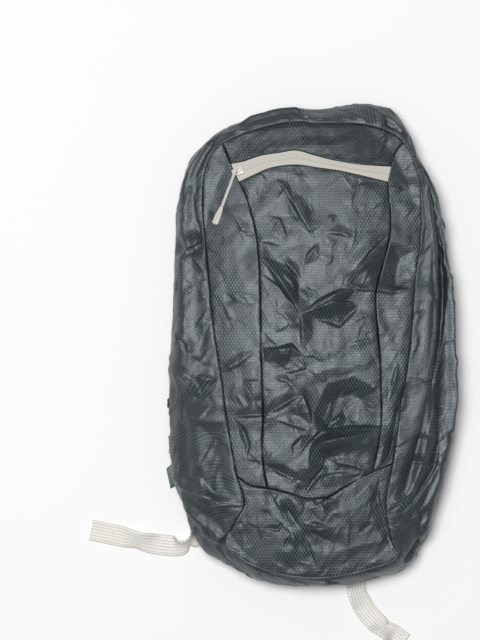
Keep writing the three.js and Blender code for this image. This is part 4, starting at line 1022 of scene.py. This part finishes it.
# Zip tape: a band with a groove along its middle, where the coil is covered
plan = filledPlan(dict(top=edgeOf(zipTopEdge), bottom=edgeOf(zipBottomEdge),
                       left=edgeOf(leftSeam[1:3], True), right=edgeOf(rightSeam[2:4], True)), 1.0, 0.5)
x, y = plan[..., 0], plan[..., 1]
down, up, left, right = edgeDistance(plan)
middle = np.abs(down - up) / 2
groove = -0.7 * np.exp(-(middle / 0.45) ** 2) + 0.5 * np.exp(-((middle - 2.0) / 1.4) ** 2)
height = frontHeight(x, y) - 0.8 + groove
uv = np.dstack([left, down])
finish(sheetMesh("pocket_zip_tape", np.dstack([x, y, height]), clothThickness, uv), zipTape,
       "zip_tape", "pocket_zip_tape")


def gussetPoints(stations, ways):
    # A quarter ellipse from the back edge out to the rim, then an ellipse of 75 degrees to the seam
    station, way = np.meshgrid(stations, ways, indexing="ij")
    rim, seam, edge = rimAt(station), seamAt(station), backEdgePlan(station)
    low = np.clip(way / rimWay, 0, 1) * np.pi / 2
    high = np.clip((way - rimWay) / (1 - rimWay), 0, 1) * gussetTurn
    outward = np.sin(low)[..., None]
    inward = ((1 - np.cos(high)) / (1 - math.cos(gussetTurn)))[..., None]
    plan = np.where((way < rimWay)[..., None], edge + (rim - edge) * outward, rim + (seam - rim) * inward)
    top = frontBase(seam[..., 0], seam[..., 1])
    lowZ = backEdgeHeight + (rimHeight - backEdgeHeight) * (1 - np.cos(low))
    highZ = rimHeight + (top - rimHeight) * np.sin(high) / math.sin(gussetTurn)
    return np.dstack([plan, np.where(way < rimWay, lowZ, highZ)])


def gussetNormals(stations, ways):
    along = gussetPoints(stations + 0.02, ways) - gussetPoints(stations - 0.02, ways)
    upward = gussetPoints(stations, ways + 0.004) - gussetPoints(stations, ways - 0.004)
    return unit(np.cross(upward, along))


def gussetFold(station, way, row):
    # Share of a fold or shelf of the gusset at each point, from 0 to 1
    s0, w0, s1, w1, width = row
    return cosineFold(station * stationLength, way * gussetGirth, s0 * stationLength, w0 * gussetGirth,
                      s1 * stationLength, w1 * gussetGirth, width)


gussetRows = [
    dict(name="gusset_front_band", material=nylon, stations=(zipStart, zipEnd), ways=(0.334, 1.0),
         step=1.25, seed=21, creases=260),
    dict(name="gusset_back_band", material=nylon, stations=(zipStart, zipEnd), ways=(0.0, 0.25),
         step=2.2, seed=22, creases=60),
    dict(name="bottom_gusset", material=nylon, stations=(zipEnd - stationCount, zipStart),
         ways=(0.0, 1.0), step=1.3, seed=23, creases=160),
]
for row in gussetRows:
    first, last = row["stations"]
    length = runLengths(rimAt(np.linspace(first, last, 400)))[-1]
    stations = first + (last - first) * spacedShares(length, row["step"])
    low, high = row["ways"]
    ways = low + (high - low) * spacedShares((high - low) * gussetGirth, row["step"])
    plain = gussetPoints(stations, ways)
    station, way = np.meshgrid(np.mod(stations, stationCount), ways, indexing="ij")
    # Folds, small creases and drawn ones, square to the cloth, which die out over 4 to 7 mm
    folds = sum(fold[-1] * gussetFold(station, way, fold[:-1]) for fold in gussetFolds)
    down, up, left, fromSeam = edgeDistance(plain)
    u, v = down, left + low * gussetGirth
    small = crumple(u, v, row["seed"], row["creases"], 4, 18, 1.3)
    small = small + crinkle(u, v, row["seed"] + 40, 1.3)
    small = small * np.clip(np.minimum(down, up) / 7, 0, 1)
    # The drawn creases and facets belong to what shows from above
    x, y, z = np.moveaxis(plain, 2, 0)
    visible = z > rimHeight - 4
    drawn = visible * drawnHeight(x, y, gussetFacets, gussetCreases)
    rise = (folds + small + drawn) * np.clip(fromSeam / 5, 0, 1)
    if low > 0:
        rise *= np.clip(left / 4, 0, 1)
    rise = rise + seamDip(np.minimum(left, fromSeam), u, v) + 0.06 * seamDip(np.minimum(down, up), u, v)
    outer = plain + gussetNormals(stations, ways) * rise[..., None]
    # Shelves and steps go straight up or down, and die out at the seam
    lift = np.max([shelf[-1] * gussetFold(station, way, shelf[:-1]) for shelf in gussetShelves], axis=0)
    lift += visible * drawnHeight(x, y, (), gussetSteps)
    outer[..., 2] += np.clip(fromSeam / 6, 0, 1) * lift
    seam = seamAt(stations)
    drop = frontHeight(seam[:, 0], seam[:, 1]) - frontBase(seam[:, 0], seam[:, 1])
    outer[..., 2] += drop[:, None] * np.exp(-(fromSeam / 5) ** 2)
    outer[..., 2] = np.maximum(outer[..., 2], lowestCloth)
    v = edgeDistance(outer)[2] + low * gussetGirth
    piece = sheetMesh(row["name"], outer, clothThickness, np.dstack([u, v]))
    finish(piece, row["material"], "ripstop_nylon", row["name"])
print("gusset made")


def ribbonMesh(name, points, across, width, wall, columns=10, edge=0.35):
    # A woven band along points: rounded selvedges, its thickness set square to run and width
    points, across = np.asarray(points, float), np.asarray(across, float)
    run = unit(np.gradient(points, axis=0))
    across = unit(across - run * (across * run).sum(axis=1, keepdims=True))
    normal = np.cross(run, across)
    part = np.linspace(-1, 1, columns + 1)
    thick = wall / 2 * np.where(np.abs(part) > 0.96, edge, 1.0)
    over = np.concatenate([part, part[::-1]]) * width / 2
    lift = np.concatenate([thick, -thick[::-1]])
    ring = (points[:, None] + across[:, None] * over[None, :, None] + normal[:, None] * lift[None, :, None])
    uv = np.dstack(np.broadcast_arrays(over[None], runLengths(points)[:, None]))
    return ringMesh(name, ring * metre, uv * metre)


def levelAcross(points):
    # Level directions square to the run of a line of points
    run = np.gradient(np.asarray(points, float), axis=0)
    return unit(np.stack([-run[:, 1], run[:, 0], np.zeros(len(run))], axis=1))


def alongCurve(points, step):
    # Points of an open curve in space, evenly spaced by about a step
    points = np.asarray(points, float)
    dense = splinePoints(points, np.linspace(0, len(points) - 1, 1500))
    lengths = runLengths(dense)
    even = np.linspace(0, lengths[-1], max(2, int(lengths[-1] / step)))
    return np.stack([np.interp(even, lengths, dense[:, k]) for k in range(3)], axis=1)


# Shoulder straps under the back, from the top of the bag down
strapRoute = [(0.24, 0.80), (0.34, 0.62), (0.52, 0.36), (0.60, 0.10), (0.61, -0.08), (0.68, -0.24)]
# Each side's anchor on the floor, and its tail out from the lock, as shares
anchors = {-1: (-1.015, -0.60), 1: (0.85, -0.62)}
tails = {
    -1: [(-0.745, -0.56), (-0.72, -0.68), (-0.80, -0.813), (-0.912, -0.857), (-1.06, -0.855),
         (-1.243, -0.831), (-1.545, -0.793)],
    1: [(0.60, -0.52), (0.42, -0.76), (0.325, -0.95), (0.327, -1.057), (0.363, -1.109),
        (0.419, -1.16), (0.489, -1.20), (0.573, -1.237), (0.66, -1.275)],
}
# Where each tail turns on its edge: place in mm, half the length of the turn and its angle
twists = {
    -1: [(-119, -188, 17, 66), (-167, -188, 22, 34)],
    1: [(42, -238, 18, 26), (72, -270, 14, 48)],
}
# How far inside the anchor's point the webbing starts, under its tab
anchorCover = {-1: 15.0, 1: 1.0}
loopEnds = [(-0.26, 0.905), (0.26, 0.905)]
hands = {-1: "left", 1: "right"}
webbingMiddle = webbingWall / 2
barUnder = webbingWall + seamGap
crossing = barUnder + webbingMiddle
overBar = barUnder + buckleWall + seamGap + webbingMiddle


def strapPoints(side):
    route = [(side * x * halfWidth, y * halfHeight, strapWall / 2) for x, y in strapRoute]
    return alongCurve(route, 2.0)


def strapHalfWidth(part):
    swell = np.sin(np.pi * np.minimum(1, part * 0.9 + 0.08)) ** 0.7
    return strapWidth / 2 * (strapNarrowShare + (1 - strapNarrowShare) * swell)


def harnessPlaces(side):
    points = strapPoints(side)
    run = unit(points[-1] - points[-2])
    buckle = points[-1] + run * (buckleLength / 2 + seamGap)
    flat = lambda row: np.array([row[0] * halfWidth, row[1] * halfHeight, 0.0])
    return points, run, buckle * (1, 1, 0), flat(anchors[side]), [flat(row) for row in tails[side]]


def spotsUnderBack():
    # What lies between the floor and the back: plan place, half width and height of each spot
    spots = []

    def addRun(start, end, half, height):
        for part in np.linspace(0, 1, 9):
            place = start + (end - start) * part
            spots.append((place[0], place[1], half, height))

    ends = [np.array([x * halfWidth, y * halfHeight, 0]) for x, y in loopEnds]
    addRun(ends[0], ends[1], loopWidth / 2, webbingWall)
    for side in (-1, 1):
        points, run, buckle, anchor, tail = harnessPlaces(side)
        for index in np.linspace(0, len(points) - 1, 25).astype(int):
            half = float(strapHalfWidth(index / (len(points) - 1)))
            spots.append((points[index][0], points[index][1], half, strapWall))
        addRun(buckle, tail[0], buckleWidth / 2, overBar + webbingMiddle)
        addRun(buckle, anchor, webbingWidth / 2, barUnder)
        addRun(tail[0], tail[1], webbingWidth / 2, crossing + webbingMiddle)
        for first, last in zip(tail[1:-1], tail[2:]):
            addRun(first, last, webbingWidth / 2, barUnder)
    return spots


underBack = spotsUnderBack()


def backHeight(x, y):
    # The back panel lies on the floor and lifts over what is under it
    lift = np.zeros_like(x)
    for px, py, half, height in underBack:
        distance = np.hypot(x - px, y - py) - half - strapLiftMargin
        lift = np.maximum(lift, (height + seamGap) * (1 - smoothStep(distance, 0, strapLiftFall)))
    return lift


def backPart(first, last):
    return lambda parts: backEdgePlan(first + (last - first) * np.asarray(parts))


backRim = backEdgePlan(np.linspace(0, stationCount, 240))
plan = filledPlan(dict(top=backPart(stationCount, stationCount + topRight),
                       bottom=backPart(bottomLeft, bottomRight), left=backPart(bottomLeft, stationCount),
                       right=backPart(bottomRight, topRight)), 2.4, 2.4)
x, y = plan[..., 0], plan[..., 1]
toRim = np.full(x.shape, 1e9)
for px, py in backRim:
    toRim = np.minimum(toRim, np.hypot(x - px, y - py))
under = np.maximum(backHeight(x, y), backEdgeHeight * (1 - smoothStep(toRim, 1, 26)))
nearest = np.minimum.reduce(edgeDistance(plan))
small = np.abs(crumple(x, y, 31, 120, 8, 26, 0.7)) * settle(nearest, 12)
outer = np.dstack([x, y, under + small])
# Its underside is the modelled face, so the grid is turned over
back = sheetMesh("back_panel", outer[:, ::-1], clothThickness, plan[:, ::-1])
finish(back, nylon, "ripstop_nylon", "back_panel")


for side in (-1, 1):
    hand = hands[side]
    points, run, buckle, anchor, tail = harnessPlaces(side)
    # Padded strap: rounded pad between two faces, pinched where it is bound round its edge
    part = np.linspace(0, 1, len(points))
    width = 2 * strapHalfWidth(part)
    across = levelAcross(points)
    share = np.linspace(-1, 1, 33)
    pad = np.maximum((1 - np.abs(share) ** 3.2) ** 0.6, 0.25)
    binding = 0.22 * np.exp(-((np.abs(share) - 0.93) / 0.05) ** 2)
    ends = np.clip(np.minimum(part, 1 - part) / 0.03, 0.35, 1)
    quilt = 1 - 0.1 * (np.abs(np.sin(part * np.pi * 9)) < 0.12)
    thick = strapWall / 2 * np.minimum(1, (pad + binding)[None]) * (ends * quilt)[:, None]
    flat = points[:, None] + across[:, None] * (share[None, :, None] * width[:, None, None] / 2)
    top, low = flat.copy(), flat.copy()
    top[..., 2] += thick
    low[..., 2] -= thick
    ring = np.concatenate([top, low[:, ::-1]], axis=1)
    over = np.concatenate([share, share[::-1]])[None] * width[:, None] / 2
    uv = np.dstack(np.broadcast_arrays(over, runLengths(points)[:, None]))
    strap = ringMesh("shoulder_strap_" + hand, ring * metre, uv * metre)
    finish(strap, strapMaterial, "strap_mesh", "shoulder_strap_" + hand)

    # Webbing: anchor run on the floor, under the lock's lower bar, up and back over it, the tail
    fromEnd = lambda distance, height: np.append((buckle + run * (buckleLength / 2 + distance))[:2], height)
    start = anchor + unit(buckle - anchor) * anchorCover[side]
    anchorRun = alongCurve([np.append(start[:2], webbingMiddle), fromEnd(22, webbingMiddle),
                            fromEnd(2, webbingMiddle)], 1.5)
    tailRun = alongCurve([fromEnd(3, overBar), fromEnd(12, overBar * 0.7), np.append(tail[0][:2], crossing)]
                         + [np.append(place[:2], webbingMiddle) for place in tail[1:]], 1.5)
    turn = [fromEnd(-buckleBar - 0.8, webbingMiddle),
            fromEnd(-buckleBar - 2.4, (webbingMiddle + overBar) / 2), fromEnd(-buckleBar - 0.8, overBar)]
    bend = alongCurve([anchorRun[-1]] + turn + [tailRun[0]], 0.8)[1:-1]
    route = np.concatenate([anchorRun, bend, tailRun])
    route[:, 2] = np.maximum(route[:, 2], webbingMiddle)
    sideways = np.array([-run[1], run[0], 0.0])
    across = levelAcross(route)
    first, last = len(anchorRun), len(anchorRun) + len(bend)
    across[first - 2:last + 2] = sideways
    across[last + 2:] *= -1
    gone = runLengths(route)
    for px, py, reach, degrees in twists[side]:
        middle = gone[np.argmin(np.hypot(route[:, 0] - px, route[:, 1] - py))]
        share = np.minimum(np.abs(gone - middle) / reach, 1)
        turn = math.radians(degrees) * (0.5 + 0.5 * np.cos(np.pi * share))
        across = across * np.cos(turn)[:, None] + np.array([0.0, 0.0, 1.0]) * np.sin(turn)[:, None]
        route[:, 2] += webbingWidth / 2 * np.sin(turn)
    webbingPiece = ribbonMesh("strap_webbing_" + hand, route, across, webbingWidth, webbingWall)
    finish(webbingPiece, webbing, "webbing", "strap_webbing_" + hand)
print("harness made")


def blocks(origin, axes, rows):
    # Rounded blocks by place, half sizes and edge radius, each across, ahead and up, in mm
    return [roundedBlock(origin + np.array(place) @ axes, axes, half, radius) for place, half, radius in rows]


# Zip slider: a wide plate and a narrow one over the coil, two flanges, two posts and their bridge
sliderBlocks = [
    ((0, -1.6, 1.3), (3.9, 4.0, 0.65), 0.6), ((0, 2.6, 1.3), (2.9, 2.9, 0.65), 0.6),
    ((-3.4, -2.0, 0.8), (0.5, 3.2, 0.8), 0.4), ((3.4, -2.0, 0.8), (0.5, 3.2, 0.8), 0.4),
    ((0, -3.4, 2.4), (1.1, 0.7, 0.9), 0.4), ((0, 3.4, 2.4), (1.1, 0.7, 0.9), 0.4),
    ((0, 0, 3.3), (1.1, 4.1, 0.45), 0.4),
]
# Ladder lock: two side rails, an end bar each way and a wide middle bar with grip ribs
lockBlocks = [
    ((-12.5, 0, 0), (1.0, 17.0, 1.5), 0.9), ((12.5, 0, 0), (1.0, 17.0, 1.5), 0.9),
    ((0, -15.0, 0), (12.6, 2.0, 1.45), 1.2), ((0, 15.0, 0), (12.6, 2.0, 1.45), 1.2),
    ((0, 0, 0), (12.6, 5.0, 1.2), 0.9), ((0, -2.2, 1.1), (11.0, 0.5, 0.4), 0.35),
    ((0, 0, 1.1), (11.0, 0.5, 0.4), 0.35), ((0, 2.2, 1.1), (11.0, 0.5, 0.4), 0.35),
]

sliderX, sliderY = -0.51 * halfWidth, 0.722 * halfHeight
sliderAxes = seatFrame(sliderX, sliderY, (-1.0, -0.3, 0.0))
sliderZ = float(frontBase(np.array(sliderX), sliderY)) - 0.1
sliderPlace = np.array([sliderX, sliderY, sliderZ])
pocketSlider = joinedMesh("pocket_zip_slider", blocks(sliderPlace, sliderAxes, sliderBlocks))
finish(pocketSlider, sliderPaint, "zip_slider", "pocket_zip_slider")

# Main zip: dark tape low on the gusset, its coil standing out along the middle
length = runLengths(rimAt(np.linspace(zipStart, zipEnd, 400)))[-1]
outer = gussetPoints(np.linspace(zipStart, zipEnd, int(length / 2.4)), np.linspace(0.2527, 0.3311, 9))
down, up, left, right = edgeDistance(outer)
mainZip = sheetMesh("main_zip", outer, clothThickness, np.dstack([left, down]))
finish(mainZip, darkTape, "dark_zip", "main_zip")
# Coil: one block for each turn, tapered outwards, to one side of the middle and the other by turns
turnPitch, turnSide = 1.5, 0.55
turnHalf, turnTaper = np.array([1.5, 0.42, 0.55]), (0.85, 0.6, 1.0)
middle = gussetPoints(np.linspace(zipStart, zipEnd, 3000), np.array([0.285, zipMiddle, 0.299]))
path, over = middle[:, 1], middle[:, 2] - middle[:, 0]
lengths = runLengths(path)
lineAt = lambda place, line: np.array([np.interp(place, lengths, line[:, k]) for k in range(3)])
corner = np.array([(a, b, c) for a in (-1, 1) for b in (-1, 1) for c in (-1, 1)], float)
scaled = corner * turnHalf * np.where(corner[:, 2:] > 0, turnTaper, (1.0, 1.0, 1.0))
faces = np.array([(0, 1, 3, 2), (4, 6, 7, 5), (0, 4, 5, 1), (2, 3, 7, 6), (0, 2, 6, 4), (1, 5, 7, 3)])
teeth = []
for number, place in enumerate(np.arange(4.0, lengths[-1] - 4.0, turnPitch)):
    centre = lineAt(place, path)
    across = unit(lineAt(place, over))
    ahead = unit(lineAt(place + 0.5, path) - centre)
    out = unit(np.cross(across, ahead))
    side = turnSide if number % 2 else -turnSide
    points = centre + across * side + out * 0.35 + scaled @ np.array([across, ahead, out])
    teeth.append((points, faces))
finish(joinedMesh("main_zip_coil", teeth), coilPlastic, "dark_zip")
zipStation = zipStart + 0.6
around = np.array([zipStation - 0.1, zipStation, zipStation + 0.1])
spot = gussetPoints(around, np.array([0.28, zipMiddle, 0.304]))
ahead = unit(spot[0, 1] - spot[2, 1])
out = unit(np.cross(spot[1, 2] - spot[1, 0], spot[2, 1] - spot[0, 1]))
out = -out if out @ (spot[1, 1] * (1, 1, 0)) < 0 else out
mainAxes = np.array([np.cross(ahead, out), ahead, out])
mainSlider = joinedMesh("main_zip_slider", blocks(spot[1, 1] + out * seamGap, mainAxes, sliderBlocks))
finish(mainSlider, darkPaint, "dark_zip", "main_zip_slider")

for side in (-1, 1):
    hand = hands[side]
    points, run, buckle, anchor, tail = harnessPlaces(side)
    axes = np.array([[-run[1], run[0], 0.0], -run, [0.0, 0.0, 1.0]])
    centre = np.array([buckle[0], buckle[1], barUnder + buckleWall / 2])
    lock = joinedMesh("ladder_lock_" + hand, blocks(centre, axes, lockBlocks))
    finish(lock, lightPlastic, "light_plastic", "ladder_lock_" + hand)

# Anchor tabs: stations of the root, and its tips as shares of half the width and height
tabs = {
    -1: dict(stations=(22.75, 23.5), tips=[(-0.985, -0.615), (-1.015, -0.53)]),
    1: dict(stations=(13.2, 13.95), tips=[(0.87, -0.545), (0.86, -0.60)]),
}
tabThickness, tabHalfWidth, tabLength = 1.3, 9.0, 24.0
for side, row in tabs.items():
    # Anchor tab: a folded bit of the bag's cloth that holds the webbing's end
    root = backEdgePlan(np.linspace(*row["stations"], 15))
    tips = np.linspace(*shares(row["tips"]), 15)
    part = np.linspace(0, 1, 18)[:, None, None]
    plan = root[None] * (1 - part) + tips[None] * part
    part = part[..., 0]
    share = np.linspace(-1, 1, 15)[None, :]
    z = (backEdgeHeight - seamGap) * (1 - part) + (webbingWall + seamGap + 1.4) * part
    z = z - 0.25 * np.abs(share) ** 3 + 0.12 * np.sin(part * 14) * (1 - share ** 2)
    top = np.dstack([plan, z])
    uv = np.dstack(np.broadcast_arrays(share * tabHalfWidth, part * tabLength))
    tab = sheetMesh("anchor_tab_" + hands[side], top, tabThickness, uv)
    finish(tab, nylon, "ripstop_nylon", "anchor_tab_" + hands[side])
    stitches += stitchRow(top[-3], 2.4, 1.7)
    stitches += stitchRow(top[-7], 2.4, 1.7)

ends = [np.array([x * halfWidth, y * halfHeight, 0.0]) for x, y in loopEnds]
rises = []
for place in ends:
    probe = np.array([place[1] - loopWidth / 2, place[1], place[1] + loopWidth / 2])
    away = np.min(np.hypot(backRim[:, :1] - place[0], backRim[:, 1:] - probe[None]), axis=0)
    low = np.maximum(backHeight(np.full(3, place[0]), probe), backEdgeHeight * (1 - smoothStep(away, 1, 26)))
    rises.append(low.min() - seamGap * 2 - webbingMiddle)
bow = [ends[0] + (ends[1] - ends[0]) * k + (0, loopBow * math.sin(math.pi * k), webbingMiddle)
       for k in (0.25, 0.5, 0.75)]
route = alongCurve([ends[0] + (0, 0, rises[0])] + bow + [ends[1] + (0, 0, rises[1])], 1.5)
route[:, 2] = np.maximum(route[:, 2], webbingMiddle)
loop = ribbonMesh("haul_loop", route, levelAcross(route), loopWidth, webbingWall)
finish(loop, webbing, "webbing", "haul_loop")
finish(joinedMesh("seam_stitches", stitches), thread, "ripstop_nylon")
print("trim made,", len(stitches), "stitches")

# Floor: a plain pale sheet in metres, just under the bag
floorHalf, floorDrop = 4.0, 0.0003
floorCorners = [(a * floorHalf, b * floorHalf, -floorDrop) for a, b in ((-1, -1), (1, -1), (1, 1), (-1, 1))]
floor = meshObject("floor", np.array(floorCorners), np.array([(0, 1, 2, 3)]), smooth=False)
floorMaterial, _, floorShader = newMaterial("pale_floor")
floorShader.inputs["Base Color"].default_value = toLinear("#f2f2f1")
floorShader.inputs["Roughness"].default_value = 0.9
floor.data.materials.append(floorMaterial)


def addLight(name, place, size, power, aim=(0.0, 0.0, 0.05)):
    data = bpy.data.lights.new(name, "AREA")
    data.size = size
    data.energy = power
    light = bpy.data.objects.new(name, data)
    light.location = place
    run = unit(np.array(aim) - np.array(place))
    light.rotation_euler = (math.acos(-run[2]), 0.0, math.atan2(run[0], -run[1]) + math.pi)
    bpy.context.scene.collection.objects.link(light)


# A soft lamp nearly at the camera, as in the photo, and a faint even room: metres and watts
lampPlace, lampSize, lampPower = (-0.35, 0.28, 3.0), 0.8, 82.0
roomStrength = 0.22
world = bpy.data.worlds.new("soft_room")
world.use_nodes = True
background = world.node_tree.nodes["Background"]
background.inputs["Color"].default_value = (0.95, 0.97, 1.0, 1.0)
background.inputs["Strength"].default_value = roomStrength
bpy.context.scene.world = world
bpy.context.scene.view_settings.view_transform = "Standard"
addLight("key_light", lampPlace, lampSize, lampPower)
